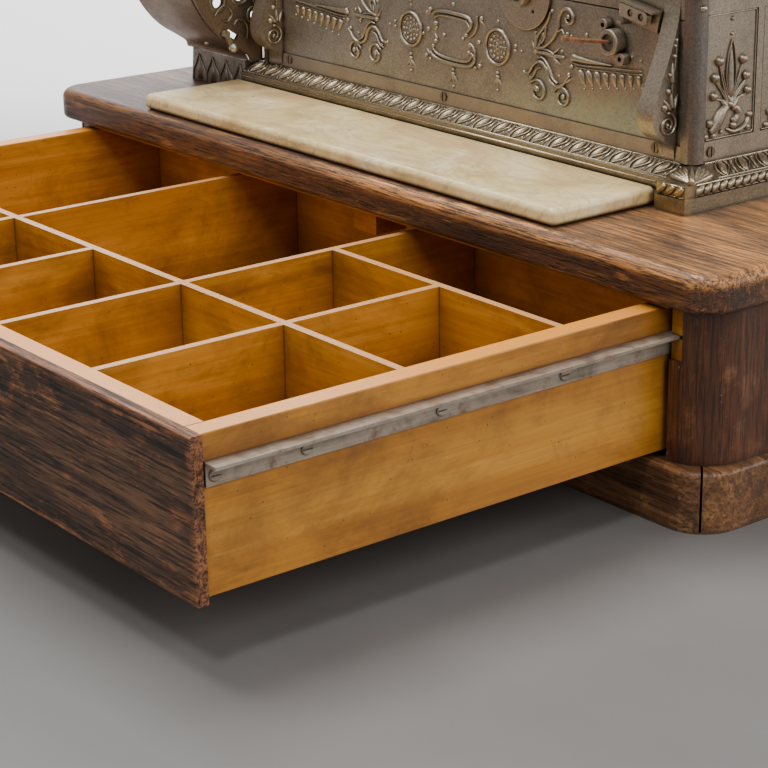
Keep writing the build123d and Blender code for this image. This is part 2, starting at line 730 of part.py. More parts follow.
def escutcheon():
    """A round plate, cut straight under the sill, with its lock collar and a small pin hole."""
    x, z = ESCUTCHEON
    y = CASE_FRONT - ESCUTCHEON_PROUD
    disc = rod_y(x, y, CASE_FRONT, z, ESCUTCHEON_RADIUS)
    disc = fillet(disc.edges().group_by(Axis.Y)[0], 1.0)
    disc -= rod_y(x, y - 1, CASE_FRONT + 1, z, PLUG + RUNNING)
    disc -= rod_y(x + 11, y - 1, CASE_FRONT - 1, z - 13, 1.3)
    disc &= block(x - 40, x + 40, y, CASE_FRONT, z - 40, SILL_Z - 0.3)
    return disc + lock_collar(x, z, y)


def small_lock():
    """A collar between two drilled lugs."""
    x, z = SMALL_LOCK
    lock = lock_collar(x, z, CASE_FRONT)
    y = CASE_FRONT - LUG_PROUD
    for side in (-1, 1):
        lug_x = x + side * LUG_OFFSET[0]
        lug_z = z - side * LUG_OFFSET[1]
        lock += fillet(rod_y(lug_x, y, CASE_FRONT, lug_z, LUG_RADIUS).edges().group_by(Axis.Y)[0], 0.6)
        lock -= rod_y(lug_x, y - 1, CASE_FRONT - 1, lug_z, LUG_HOLE)
    return lock - rod_y(x, CASE_FRONT - COLLAR_PROUD - 1, CASE_FRONT + 1, z, PLUG + RUNNING)


def hasp_spot():
    """The hasp's own place: at the top of its pin, leaning down to the right."""
    return Pos(*HASP_PIN) * Rot(0, HASP_TILT, 0)


def hasp_plate():
    """The fixed plate with the ledge that carries the pin, and the ear under it."""
    back = CASE_FRONT - HASP_PIN[1]
    plate = block(-4, 31, back - 4, back - 2, -9, 5)
    ledge = block(-3, 31, -3, back, 5, 6.6)
    ear = block(-2.4, 2.4, -2.4, back, -11, -9)
    foot = block(-2.4, 30, back - 2, back, -9, 5)
    pin = rod_z(*HASP_PIN[:2], HASP_PIN[2] - 9.5, HASP_PIN[2] + 5.5, HASP_PIN_RADIUS)
    return hasp_spot() * (plate + ledge + ear + foot) + pin


def lock_fittings():
    """The escutcheon, the small lock and the hasp's fixed plate."""
    return group([escutcheon(), small_lock(), hasp_plate()])


def lock_key(x, z):
    """A lock plug with a worn key standing in it."""
    y_front = CASE_FRONT - COLLAR_PROUD + PLUG_RECESS
    plug = rod_y(x, y_front, CASE_FRONT + 6, z, PLUG)
    shank = rod_y(0, -KEY_SHANK, 2, 0, 1.3)
    bow = rod_y(0, -1.1, 1.1, 0, KEY_BOW) - rod_y(0, -2, 2, 0, KEY_BOW - 3.6)
    bow = Pos(0, -KEY_SHANK - KEY_BOW + 2, 0) * Rot(90, 0, 0) * bow
    return plug + Pos(x, y_front, z) * Rot(-KEY_TILT, 0, 0) * (shank + bow)


def hasp_strap():
    """The short block that swings out on the hasp's pin, with two countersunk holes."""
    strap = block(3, 26, -2.6, 2.0, -4.6, 4.4)
    strap = fillet(strap.edges().filter_by(Axis.Y).group_by(Axis.X)[-1], 3.0)
    for x in (9.5, 20.0):
        strap -= rod_y(x, -3.6, -1.2, 0, 2.6)
    strap += block(0, 4, -2.6, 0.6, -4.6, 4.4)
    strap = hasp_spot() * strap
    x, y, z = HASP_PIN
    strap += rod_z(x, y, z - 4.6, z + 4.2, HASP_PIN_RADIUS + 1.4)
    return strap - rod_z(x, y, z - 12, z + 12, HASP_PIN_RADIUS + RUNNING)


# ---- Paper bay ----------------------------------------------------------------------------
def bay_front_curve():
    """The bay's swelling front, from the foot up to its top edge."""
    return Spline(
        BAY_FOOT_FRONT, (-126.0, 210.0), (-147.0, 223.2), (-168.5, 246.5), (-188.0, 284.0), (-194.0, 312.0),
        (-182.0, 346.0), BAY_LIP, tangents=((0.0, 1.0), (1.0, 0.1)),
    )


def cheek(x0, x1):
    """A side plate of the bay, pierced in its lower part."""
    low = BAY_FOOT_FRONT[1]
    rear = [(BAY_BACK, BAY_TOP), (BAY_BACK, BAY_FLOOR), (-70.0, BAY_FLOOR), (-98.0, 276.0), (-109.6, 240.0)]
    outline = [bay_front_curve(), Polyline(BAY_LIP, *rear, (-109.6, low), BAY_FOOT_FRONT)]
    plate = profile(outline, x0, x1)
    for y, z, radius in CHEEK_HOLES:
        plate -= rod_x(x0 - 1, x1 + 1, y, z, radius)
    y, z, length, width, lean = CHEEK_SLOT
    plate -= Pos((x0 + x1) / 2, y, z) * Rot(lean, 0, 0) * Box(x1 - x0 + 2, length, width)
    return plate - rod_x(x0 - 1, x1 + 1, *ROLL_CENTRE, SPINDLE + RUNNING)


def bay_frame():
    """Both cheeks, the floor and back of the roll box, and the cover's hinge pin."""
    x0, x1 = BAY
    inner0 = x0 + CHEEK
    inner1 = x1 - CHEEK
    floor = block(inner0, inner1, -70.0, BAY_BACK, BAY_FLOOR, BAY_FLOOR + 3)
    back = block(inner0, inner1, BAY_BACK - 3, BAY_BACK, BAY_FLOOR + 3, BAY_TOP - 14)
    pin = rod_x(inner0, inner1, BAY_HINGE[0], BAY_HINGE[1], HINGE_PIN)
    return group([cheek(x0, inner0), cheek(inner1, x1), floor, back, pin])


def bay_cover():
    """The curved lid of the bay, hinged at its top rear edge."""
    x0 = BAY[0] + CHEEK + 0.3
    x1 = BAY[1] - CHEEK - COVER_GAP
    outer = bay_front_curve()
    inside = []
    for step in range(COVER_STEPS + 1):
        spot = outer @ (step / COVER_STEPS)
        way = outer % (step / COVER_STEPS)
        inside.append((spot.X + way.Y * COVER, spot.Y - way.X * COVER))
    inner = Spline(*reversed(inside))
    sheet = make_face([outer, Line(outer @ 1, inner @ 0), inner, Line(inner @ 1, outer @ 0)])
    shell = Pos(x0, 0, 0) * extrude(Plane.YZ * sheet, x1 - x0, dir=(1, 0, 0))
    top = block(x0, x1, BAY_LIP[0] - 0.5, BAY_HINGE[0] - 2, BAY_TOP - COVER, BAY_TOP)
    knuckle = rod_x(x0, x1, *BAY_HINGE, BAY_TOP - BAY_HINGE[1])
    lid = shell + top + knuckle
    return lid - rod_x(x0 - 1, x1 + 1, *BAY_HINGE, HINGE_PIN + RUNNING)


def bay_hook():
    """The small catch with a ball end on the right cheek."""
    x0 = BAY[1] + 0.4
    pivot = rod_x(x0, x0 + 5, 0, 0, 3.2)
    arm = block(x0 + 1, x0 + 4, -2.0, 2.0, -HOOK_LENGTH + 1, 0.0)
    ball = Pos(x0 + 4.6, 0, -HOOK_LENGTH) * Sphere(4.0)
    return Pos(0, *HOOK) * Rot(HOOK_LEAN, 0, 0) * (pivot + arm + ball)


def paper_roll():
    """A roll of paper on its spindle."""
    y, z = ROLL_CENTRE
    roll = rod_x(BAY[0] + 10, BAY[1] - 12, y, z, ROLL_RADIUS)
    return roll + rod_x(BAY[0], BAY[1], y, z, SPINDLE)


# ---- Inner works --------------------------------------------------------------------------
def bell():
    """The drawer bell on its post, bolted to the top board."""
    x, y, z = BELL
    rim = BELL_RADIUS + 4
    dome = Sphere(BELL_RADIUS) - Sphere(BELL_RADIUS - BELL_SHELL) - block(-rim, rim, -rim, rim, -rim, 4)
    return rod_z(x, y, TOP_Z, z + BELL_RADIUS + 1, 2.5) + Pos(*BELL) * dome


def drawer_latch():
    """The flat bolt that drops in front of the drawer's strike block."""
    bolt = block(-LATCH_HALF, LATCH_HALF, *LATCH_Y, LATCH_LOW, LATCH_LOW + LATCH_LENGTH)
    toe = bolt.edges().filter_by(Axis.X).group_by(Axis.Z)[0]
    return chamfer(toe, 2.0)


def counter_wheels():
    """The adding counter's wheels on one arbor."""
    wheels = rod_x(CASE_MID - 60, CASE_MID + 60, *COUNTER, 4.0)
    for place in range(-3, 4):
        x = CASE_MID + COUNTER_PITCH * place
        wheels += rod_x(x - 5, x + 5, *COUNTER, COUNTER_WHEEL)
    return wheels


def main():
    os.makedirs("parts", exist_ok=True)
    makers = [
        top_board, plinth_boards, base_board, corner_posts, side_boards, rear_board, drawer_guides,
        front_rail, marble_slab, drawer_front, drawer_inner_front, drawer_sides, drawer_back,
        drawer_bottom, cross_dividers, long_dividers, slide_rails, rail_screws, case_base, bay_foot,
        front_panel, side_panels, rear_panel, console_brackets, corner_pilasters, sill_moulding,
        keyboard_plate, hood, window_panes, top_sign, case_screws, lock_fittings, hasp_strap,
        bay_frame, bay_cover, bay_hook, paper_roll, bell, drawer_latch, counter_wheels,
    ]
    for maker in makers:
        save(maker(), maker.__name__)
    save(lock_key(*ESCUTCHEON), "upper_key")
    save(lock_key(*SMALL_LOCK), "lower_key")
    for number, place in enumerate(key_places(), start=1):
        save(key(place), f"key_{number}")
        save(tablet(place[0]), f"tablet_{number}")


main()
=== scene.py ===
import bpy
import json
from math import cos, hypot, pi, radians, sin
from mathutils import Matrix, Vector


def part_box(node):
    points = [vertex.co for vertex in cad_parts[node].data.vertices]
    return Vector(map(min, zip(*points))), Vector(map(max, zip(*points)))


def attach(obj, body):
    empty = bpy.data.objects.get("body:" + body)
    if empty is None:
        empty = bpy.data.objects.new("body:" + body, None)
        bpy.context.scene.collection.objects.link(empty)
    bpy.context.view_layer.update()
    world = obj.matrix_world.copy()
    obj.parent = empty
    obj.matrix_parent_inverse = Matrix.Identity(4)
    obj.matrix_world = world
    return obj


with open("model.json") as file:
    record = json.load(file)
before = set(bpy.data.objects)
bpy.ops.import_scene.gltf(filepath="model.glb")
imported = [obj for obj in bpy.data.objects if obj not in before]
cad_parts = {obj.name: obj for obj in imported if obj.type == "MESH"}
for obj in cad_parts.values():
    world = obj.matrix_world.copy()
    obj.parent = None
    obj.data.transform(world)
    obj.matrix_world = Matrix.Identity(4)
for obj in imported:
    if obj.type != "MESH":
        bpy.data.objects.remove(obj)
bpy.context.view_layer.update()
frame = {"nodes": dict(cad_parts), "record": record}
NODES = frame["nodes"]
MM = 0.001

# ---- Places taken from the frame, in metres ------------------------------------------------
PANEL_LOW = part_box("front_panel")[0]
SIDES_LOW, SIDES_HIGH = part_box("side_panels")
BASE_LOW, BASE_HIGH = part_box("case_base")
TOP_LOW, TOP_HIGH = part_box("top_board")
DRAWER_LOW, DRAWER_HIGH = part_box("drawer_front")
DRAWER_MID = (DRAWER_LOW + DRAWER_HIGH) / 2
BRACKET_LOW, BRACKET_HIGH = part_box("console_brackets")
PLATE_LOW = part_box("keyboard_plate")[0]
HOOD_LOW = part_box("hood")[0]
BAY_LOW, BAY_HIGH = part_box("bay_frame")
FOOT_LOW, FOOT_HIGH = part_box("bay_foot")
SIGN_LOW, SIGN_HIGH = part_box("top_sign")
SILL_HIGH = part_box("sill_moulding")[1]
STRIP_PROUD = 1.4 * MM
FACE_Y = PANEL_LOW.y + STRIP_PROUD
CASE_MID = (SIDES_LOW.x + SIDES_HIGH.x) / 2
STRIP_TOP = PANEL_LOW.z + 11 * MM
RIGHT = Vector((1, 0, 0))
LEFT = Vector((-1, 0, 0))
UP = Vector((0, 0, 1))
FORWARD = Vector((0, -1, 0))
BACKWARD = Vector((0, 1, 0))
KEY_SLOPE = Vector((0, 100.4, 84.0)).normalized()
KEY_LIFT = Vector((0, -84.0, 100.4)).normalized()
PANEL_MIDDLE = 256.5
TABLET_Y = 60.0 * MM
SIGN_INSET = 10.0 * MM


# ---- Materials -----------------------------------------------------------------------------
class Look:
    """A node material. Each method adds nodes and gives back an output socket."""

    def __init__(self, name):
        self.material = bpy.data.materials.new(name)
        self.material.use_nodes = True
        self.nodes = self.material.node_tree.nodes
        self.links = self.material.node_tree.links
        self.shader = self.nodes["Principled BSDF"]

    def join(self, value, socket):
        """Links a socket, or sets a plain value."""
        if isinstance(value, bpy.types.NodeSocket):
            self.links.new(value, socket)
        else:
            socket.default_value = value

    def place(self, stretch=(1, 1, 1), turn=(0, 0, 0)):
        """Object coordinates in metres, stretched and turned."""
        coords = self.nodes.new("ShaderNodeTexCoord")
        mapping = self.nodes.new("ShaderNodeMapping")
        mapping.inputs["Scale"].default_value = stretch
        mapping.inputs["Rotation"].default_value = turn
        self.links.new(coords.outputs["Object"], mapping.inputs["Vector"])
        return mapping.outputs["Vector"]

    def noise(self, vector, scale, detail=5.0, rough=0.55, warp=0.0):
        node = self.nodes.new("ShaderNodeTexNoise")
        self.links.new(vector, node.inputs["Vector"])
        node.inputs["Scale"].default_value = scale
        node.inputs["Detail"].default_value = detail
        node.inputs["Roughness"].default_value = rough
        node.inputs["Distortion"].default_value = warp
        return node.outputs["Fac"]

    def cloud(self, scale, detail=5.0, rough=0.55, warp=0.0):
        """Noise that is drawn out along no axis."""
        return self.noise(self.place(), scale, detail, rough, warp)

    def cells(self, vector, scale):
        node = self.nodes.new("ShaderNodeTexVoronoi")
        self.links.new(vector, node.inputs["Vector"])
        node.inputs["Scale"].default_value = scale
        return node.outputs["Distance"]

    def ramp(self, value, *stops):
        """A colour ramp; stops are (place, colour) or (place, grey)."""
        node = self.nodes.new("ShaderNodeValToRGB")
        self.links.new(value, node.inputs["Fac"])
        elements = node.color_ramp.elements
        while len(elements) < len(stops):
            elements.new(0.5)
        for element, (place, colour) in zip(elements, stops):
            element.position = place
            if isinstance(colour, (int, float)):
                colour = (colour, colour, colour)
            element.color = (*colour, 1.0)
        return node.outputs["Color"]

    def mix(self, factor, first, second, blend="MIX"):
        node = self.nodes.new("ShaderNodeMix")
        node.data_type = "RGBA"
        node.blend_type = blend
        self.join(factor, node.inputs["Factor"])
        for value, socket in ((first, node.inputs["A"]), (second, node.inputs["B"])):
            if isinstance(value, tuple):
                value = (*value, 1.0)
            self.join(value, socket)
        return node.outputs["Result"]

    def math(self, operation, first, second=0.0, clamp=False):
        node = self.nodes.new("ShaderNodeMath")
        node.operation = operation
        node.use_clamp = clamp
        self.join(first, node.inputs[0])
        self.join(second, node.inputs[1])
        return node.outputs[0]

    def times(self, first, second, clamp=False):
        return self.math("MULTIPLY", first, second, clamp)

    def minus(self, first, second):
        return self.math("SUBTRACT", first, second)

    def most(self, first, second, clamp=False):
        return self.math("MAXIMUM", first, second, clamp)

    def axis(self, name):
        """One object coordinate."""
        coords = self.nodes.new("ShaderNodeTexCoord")
        split = self.nodes.new("ShaderNodeSeparateXYZ")
        self.links.new(coords.outputs["Object"], split.inputs[0])
        return split.outputs[name]

    def above(self, value, edge, soft):
        """0 below edge, 1 above it, soft either side."""
        node = self.nodes.new("ShaderNodeMapRange")
        node.interpolation_type = "SMOOTHSTEP"
        self.links.new(value, node.inputs["Value"])
        node.inputs["From Min"].default_value = edge - soft
        node.inputs["From Max"].default_value = edge + soft
        return node.outputs["Result"]

    def hollow(self):
        """Curvature of the mesh: about 0.5 when flat, more on ridges."""
        return self.nodes.new("ShaderNodeNewGeometry").outputs["Pointiness"]

    def level(self):
        """1 where the surface faces straight up."""
        coords = self.nodes.new("ShaderNodeTexCoord")
        split = self.nodes.new("ShaderNodeSeparateXYZ")
        self.links.new(coords.outputs["Normal"], split.inputs[0])
        return self.above(split.outputs["Z"], 0.9, 0.05)

    def crevice(self, distance, low, high):
        """1 in corners tighter than a distance, 0 in the open."""
        node = self.nodes.new("ShaderNodeAmbientOcclusion")
        node.samples = 8
        node.inputs["Distance"].default_value = distance
        return self.ramp(node.outputs["AO"], (low, 1.0), (high, 0.0))

    def grime(self, colour, distance, low, high, strength, tone):
        """Painted shade in the corners, also standing for dirt there, laid over a colour."""
        # painted shade: ambient occlusion darkens the colour where parts crowd close together
        corner_shade = self.crevice(distance, low, high)
        return self.mix(self.times(corner_shade, strength), colour, tone)

    def bump(self, height, strength, distance, before=None):
        node = self.nodes.new("ShaderNodeBump")
        node.inputs["Strength"].default_value = strength
        node.inputs["Distance"].default_value = distance
        self.links.new(height, node.inputs["Height"])
        if before is not None:
            self.links.new(before, node.inputs["Normal"])
        self.links.new(node.outputs["Normal"], self.shader.inputs["Normal"])
        return node.outputs["Normal"]

    def finish(self, colour, rough, **constants):
        """Colour and roughness may be sockets; the rest are plain numbers on the shader."""
        if isinstance(colour, tuple):
            colour = (*colour, 1.0)
        self.join(colour, self.shader.inputs["Base Color"])
        self.join(rough, self.shader.inputs["Roughness"])
        for name, value in constants.items():
            self.shader.inputs[name.replace("_", " ")].default_value = value
        return self.material


def grain_stretch(along, squeeze):
    """Mapping scale that draws a texture out along one axis."""
    return tuple(squeeze if axis == along else 1.0 for axis in "xyz")


def scaled(colour, factor):
    return tuple(min(1.0, factor * channel) for channel in colour)


def wood(name, along, tones, wear=None, mask=None, streak=190.0, shine=0.36, coat=0.3, pores=0.6,
         depth=0.00025):
    """Varnished oak: broad figure, fine streaks and open black pores along one axis."""
    dark, middle, light = tones
    look = Look(name)
    broad = look.noise(look.place(grain_stretch(along, 0.12)), 26.0, 6.0, 0.62, 1.2)
    fine = look.noise(look.place(grain_stretch(along, 0.035)), streak, 5.0, 0.68, 0.3)
    pore = look.noise(look.place(grain_stretch(along, 0.045)), streak * 3.4, 4.0, 0.75)
    value = look.mix(0.5, broad, fine)
    colour = look.ramp(value, (0.34, dark), (0.50, middle), (0.64, light))
    blotch = look.cloud(12.0, 6.0, 0.66)
    colour = look.mix(1.0, colour, look.ramp(blotch, (0.34, 0.62), (0.60, 1.15)), "MULTIPLY")
    if wear is not None:
        worn = look.ramp(fine, (0.40, scaled(wear, 0.40)), (0.58, scaled(wear, 1.35)))
        colour = look.mix(mask(look), colour, worn)
    shade = look.ramp(pore, (0.42, 1.0 - pores), (0.53, 1.0))
    colour = look.mix(1.0, colour, shade, "MULTIPLY")
    chips = look.ramp(look.cloud(230.0, 3.0, 0.6), (0.70, 0.0), (0.74, 0.5))
    colour = look.mix(chips, colour, (0.42, 0.30, 0.21))
    # painted shade and dirt: the oak darkens in corners by ambient occlusion
    colour = look.grime(colour, 0.006, 0.45, 0.85, 0.7, (0.022, 0.012, 0.008))
    rough = look.ramp(value, (0.3, shine + 0.2), (0.7, shine))
    normal = look.bump(shade, 0.5, depth)
    look.bump(fine, 0.3, depth, normal)
    return look.finish(colour, rough, Coat_Weight=coat, Coat_Roughness=0.3, Specular_IOR_Level=0.45)


def ragged(look, value, edge, soft, scale=60.0, amount=0.012):
    """A soft threshold with a ragged border."""
    torn = look.cloud(scale, 6.0, 0.7)
    shifted = look.math("ADD", value, look.times(look.minus(torn, 0.5), amount))
    return look.above(shifted, edge, soft)


def patches(look, along, scale, low, high, strength, squeeze=0.4):
    """Drawn-out patches of wear."""
    spread = look.noise(look.place(grain_stretch(along, squeeze)), scale, 7.0, 0.70, 0.5)
    return look.ramp(spread, (low, 0.0), (high, strength))


def top_wear(look):
    """Rubbed patches along the oak top's rim and over its right end."""
    across = look.minus(look.math("ABSOLUTE", look.axis("X")), TOP_HIGH.x)
    depth = look.minus(look.times(look.axis("Y"), -1.0), -TOP_LOW.y)
    rim = ragged(look, look.most(across, depth), -0.007, 0.005, 45.0, 0.030)
    upper = look.above(look.axis("Z"), TOP_HIGH.z - 0.0075, 0.004)
    near_end = look.above(look.axis("X"), 0.05, 0.16)
    rubbed = look.times(look.times(rim, upper), look.math("ADD", near_end, 0.25), True)
    flat = look.above(look.axis("Z"), TOP_HIGH.z - 0.001, 0.0005)
    right = look.times(look.above(look.axis("X"), 0.26, 0.05), flat)
    right = look.times(right, patches(look, "x", 22.0, 0.30, 0.62, 1.0))
    flecks = patches(look, "x", 110.0, 0.56, 0.68, 0.55, 0.16)
    return look.most(look.most(rubbed, right), flecks, True)


def front_wear(look):
    """Rust-brown patches and rubbed edges where the drawer front's black finish has gone."""
    spots = patches(look, "x", 42.0, 0.53, 0.61, 0.8, 0.55)
    across = look.minus(look.math("ABSOLUTE", look.axis("X")), DRAWER_HIGH.x)
    height = look.minus(look.math("ABSOLUTE", look.minus(look.axis("Z"), DRAWER_MID.z)),
                       DRAWER_HIGH.z - DRAWER_MID.z)
    edge = ragged(look, look.most(across, height), -0.003, 0.003, 80.0, 0.014)
    streaks = patches(look, "x", 170.0, 0.56, 0.66, 0.45, 0.10)
    return look.most(look.most(spots, streaks), look.times(edge, 0.75), True)


def speckled(look):
    """Irregular pale patches, drawn out a little upright."""
    return patches(look, "z", 46.0, 0.53, 0.66, 0.6, 0.8)


def pine(name, along, tone=1.0):
    """Amber varnished pine, orange and rubbed on its top edges, with painted shade and dirt in its corners
    and painted shade deep in its bays.
    """
    look = Look(name)
    broad = look.noise(look.place(grain_stretch(along, 0.07)), 22.0, 6.0, 0.6, 1.8)
    fine = look.noise(look.place(grain_stretch(along, 0.025)), 300.0, 5.0, 0.7, 0.3)
    value = look.mix(0.42, broad, fine)
    colour = look.ramp(
        value,
        (0.32, scaled((0.36, 0.135, 0.010), tone)),
        (0.50, scaled((0.55, 0.225, 0.018), tone)),
        (0.66, scaled((0.68, 0.33, 0.045), tone)),
    )
    stain = look.noise(look.place((1, 1, 1.6)), 13.0, 7.0, 0.68, 0.4)
    tint = look.ramp(stain, (0.32, (0.52, 0.46, 0.38)), (0.56, (1.05, 1.03, 1.0)))
    colour = look.mix(1.0, colour, tint, "MULTIPLY")
    smudge = look.ramp(look.cloud(34.0, 6.0, 0.7, 0.8), (0.58, 0.0), (0.74, 0.5))
    colour = look.mix(smudge, colour, (0.20, 0.10, 0.030))
    edge = look.times(look.level(), look.above(look.axis("Z"), 0.139, 0.0005))
    orange = look.above(look.axis("Z"), 0.1427, 0.0005)
    orange = look.times(orange, look.ramp(stain, (0.40, 0.85), (0.58, 1.0)))
    rubbed = look.mix(orange, (0.70, 0.335, 0.125), (0.95, 0.335, 0.014))
    colour = look.mix(look.times(edge, 0.9), colour, rubbed)
    speck = look.cells(look.place(), 110.0)
    colour = look.mix(look.ramp(speck, (0.04, 0.8), (0.09, 0.0)), colour, (0.09, 0.035, 0.012))
    # painted shade: wide ambient occlusion darkens the bays deep under the top, as the shadow there
    colour = look.grime(colour, 0.060, 0.20, 0.90, 0.75, (0.115, 0.036, 0.004))
    # painted shade and dirt in the tight corners
    colour = look.grime(colour, 0.003, 0.45, 0.72, 0.8, (0.05, 0.02, 0.008))
    rough = look.ramp(stain, (0.35, 0.46), (0.65, 0.30))
    look.bump(fine, 0.25, 0.0002)
    return look.finish(colour, rough, Coat_Weight=0.3, Coat_Roughness=0.25)


def nickel(name, base=(0.42, 0.355, 0.275), copper=0.0, rough=0.36, ridges=False, tints=()):
    """Old nickel plate: grainy and mottled, with painted shade and dirt in its corners. Ornament gets
    painted highlights on its ridges and is darker in its hollows.
    """
    look = Look(name)
    cloud = look.cloud(24.0, 8.0, 0.7, 0.5)
    grit = look.cloud(620.0, 5.0, 0.8)
    colour = look.ramp(cloud, (0.30, scaled(base, 0.72)), (0.52, base), (0.74, scaled(base, 1.18)))
    colour = look.mix(1.0, colour, look.ramp(grit, (0.36, 0.66), (0.62, 1.22)), "MULTIPLY")
    bare = look.ramp(look.cloud(15.0, 7.0, 0.72, 0.4), (0.54 - copper * 0.25, 0.0),
                     (0.76, 0.24 + copper * 0.5))
    colour = look.mix(bare, colour, (0.34, 0.225, 0.150))
    green = look.ramp(look.cloud(19.0, 7.0, 0.75, 0.6), (0.62, 0.0), (0.76, 0.45))
    colour = look.mix(green, colour, (0.185, 0.225, 0.115))
    for mask, tone in tints:
        colour = look.mix(mask(look), colour, tone)
    # painted shade and dirt: the plate darkens in corners by ambient occlusion
    colour = look.grime(colour, 0.004, 0.40, 0.90, 0.8, (0.050, 0.038, 0.026))
    speck = look.ramp(look.cells(look.place(), 230.0), (0.05, 0.6), (0.10, 0.0))
    colour = look.mix(speck, colour, (0.10, 0.07, 0.05))
    shine = look.ramp(cloud, (0.32, rough + 0.14), (0.68, rough - 0.04))
    if ridges:
        ridge = look.hollow()
        # darker in the hollows of the relief
        colour = look.mix(look.ramp(ridge, (0.40, 0.45), (0.48, 0.0)), colour, (0.080, 0.062, 0.042))
        # painted highlight: pale colour on the ridges of the relief
        painted_highlight = look.ramp(ridge, (0.53, 0.0), (0.63, 0.55))
        colour = look.mix(painted_highlight, colour, (0.74, 0.65, 0.50))
        shine = look.mix(painted_highlight, shine, (rough - 0.12, rough - 0.12, rough - 0.12))
    normal = look.bump(grit, 0.24, 0.00016)
    look.bump(cloud, 0.2, 0.0006, normal)
    return look.finish(colour, shine, Metallic=0.90)


def coppery_strip(look):
    """The plain strip at the foot of the sheet, where the plate has worn to copper."""
    low = look.above(look.times(look.axis("Z"), -1.0), -STRIP_TOP, 0.0004)
    return look.times(low, look.ramp(look.cloud(30.0, 6.0, 0.7), (0.32, 0.15), (0.6, 0.7)))


def verdigris(look):
    """Pale green bloom on the lower right of the front sheet."""
    right = ragged(look, look.axis("X"), 0.085, 0.05, 30.0, 0.09)
    low = ragged(look, look.times(look.axis("Z"), -1.0), -0.236, 0.012, 40.0, 0.03)
    field = look.above(look.axis("Z"), STRIP_TOP, 0.0004)
    spots = look.ramp(look.cloud(260.0, 5.0, 0.75), (0.40, 0.25), (0.62, 0.9))
    return look.times(look.times(right, look.times(low, field)), spots)


def golden_corner(look):
    """Bare brass on the base's front right corner."""
    right = ragged(look, look.axis("X"), 0.243, 0.004, 60.0, 0.014)
    front = ragged(look, look.times(look.axis("Y"), -1.0), 0.127, 0.003, 60.0, 0.012)
    spots = look.ramp(look.cloud(120.0, 5.0, 0.7), (0.38, 0.0), (0.60, 0.7))
    return look.times(look.times(right, front), spots)


def marble():
    """Cream marble with soft veins, rosy and grey clouds and small nicks."""
    look = Look("marble")
    cloud = look.noise(look.place((1, 1, 1), (0, 0, 0.5)), 12.0, 8.0, 0.62, 1.4)
    colour = look.ramp(cloud, (0.30, (0.60, 0.42, 0.17)), (0.50, (0.88, 0.67, 0.32)),
                       (0.68, (0.97, 0.82, 0.49)))
    warp = look.noise(look.place((1, 2.6, 1), (0, 0, 0.35)), 9.0, 9.0, 0.66, 2.4)
    vein = look.ramp(warp, (0.46, 0.0), (0.50, 0.42), (0.54, 0.0))
    colour = look.mix(vein, colour, (0.34, 0.27, 0.16))
    rosy = look.ramp(look.noise(look.place((1, 1.6, 1)), 8.0, 5.0, 0.66, 1.0), (0.50, 0.0), (0.66, 0.75))
    colour = look.mix(rosy, colour, (0.66, 0.40, 0.19))
    grey = look.ramp(look.noise(look.place((1, 2.4, 1), (0, 0, 0.3)), 30.0, 6.0, 0.72, 1.2), (0.62, 0.0),
                     (0.70, 0.6))
    colour = look.mix(grey, colour, (0.27, 0.24, 0.15))
    nicks = look.ramp(look.cells(look.place((1, 1.8, 1)), 26.0), (0.035, 0.9), (0.06, 0.0))
    colour = look.mix(nicks, colour, (0.20, 0.09, 0.045))
    # painted shade and dirt: the marble darkens in corners by ambient occlusion
    colour = look.grime(colour, 0.005, 0.35, 0.85, 0.75, (0.14, 0.09, 0.04))
    look.bump(cloud, 0.10, 0.0008)
    return look.finish(colour, 0.30, Coat_Weight=0.12, Coat_Roughness=0.2, Subsurface_Weight=0.05)


def worn_steel():
    """Grey steel, streaked along the drawer and rusty in places."""
    look = Look("worn_steel")
    streak = look.noise(look.place(grain_stretch("y", 0.05)), 160.0, 6.0, 0.7)
    cloud = look.cloud(42.0, 7.0, 0.74, 0.4)
    colour = look.ramp(look.mix(0.5, streak, cloud), (0.34, (0.15, 0.11, 0.08)),
                       (0.50, (0.46, 0.38, 0.30)), (0.66, (0.66, 0.58, 0.48)))
    rust = look.ramp(cloud, (0.52, 0.0), (0.66, 0.75))
    colour = look.mix(rust, colour, (0.19, 0.090, 0.045))
    # painted shade and dirt: the steel darkens in corners by ambient occlusion
    colour = look.grime(colour, 0.003, 0.35, 0.85, 0.85, (0.040, 0.026, 0.018))
    look.bump(cloud, 0.35, 0.0004)
    return look.finish(colour, look.ramp(cloud, (0.35, 0.40), (0.65, 0.62)), Metallic=0.75)


def rusty_iron(name, bright_behind=None):
    """Rust-brown iron; behind a depth it stays dark nickel."""
    look = Look(name)
    cloud = look.cloud(160.0, 7.0, 0.7, 0.5)
    colour = look.ramp(cloud, (0.30, (0.13, 0.050, 0.022)), (0.52, (0.36, 0.15, 0.07)),
                       (0.72, (0.50, 0.26, 0.14)))
    if bright_behind is not None:
        plug = look.above(look.axis("Y"), bright_behind, 0.0005)
        colour = look.mix(plug, colour, look.ramp(cloud, (0.3, (0.07, 0.058, 0.042)),
                                                  (0.7, (0.24, 0.20, 0.15))))
    look.bump(cloud, 0.5, 0.0005)
    return look.finish(colour, look.ramp(cloud, (0.3, 0.70), (0.7, 0.45)), Metallic=0.45)


def plain_metal(name, base, rough):
    """Small brass or nickel fittings."""
    look = Look(name)
    cloud = look.cloud(90.0, 6.0, 0.65, 0.4)
    colour = look.ramp(cloud, (0.3, scaled(base, 0.6)), (0.6, base))
    # painted shade and dirt: the fittings darken in corners by ambient occlusion
    colour = look.grime(colour, 0.003, 0.35, 0.85, 0.8, (0.040, 0.030, 0.020))
    look.bump(cloud, 0.2, 0.0003)
    return look.finish(colour, look.ramp(cloud, (0.3, rough + 0.15), (0.7, rough)), Metallic=0.95)


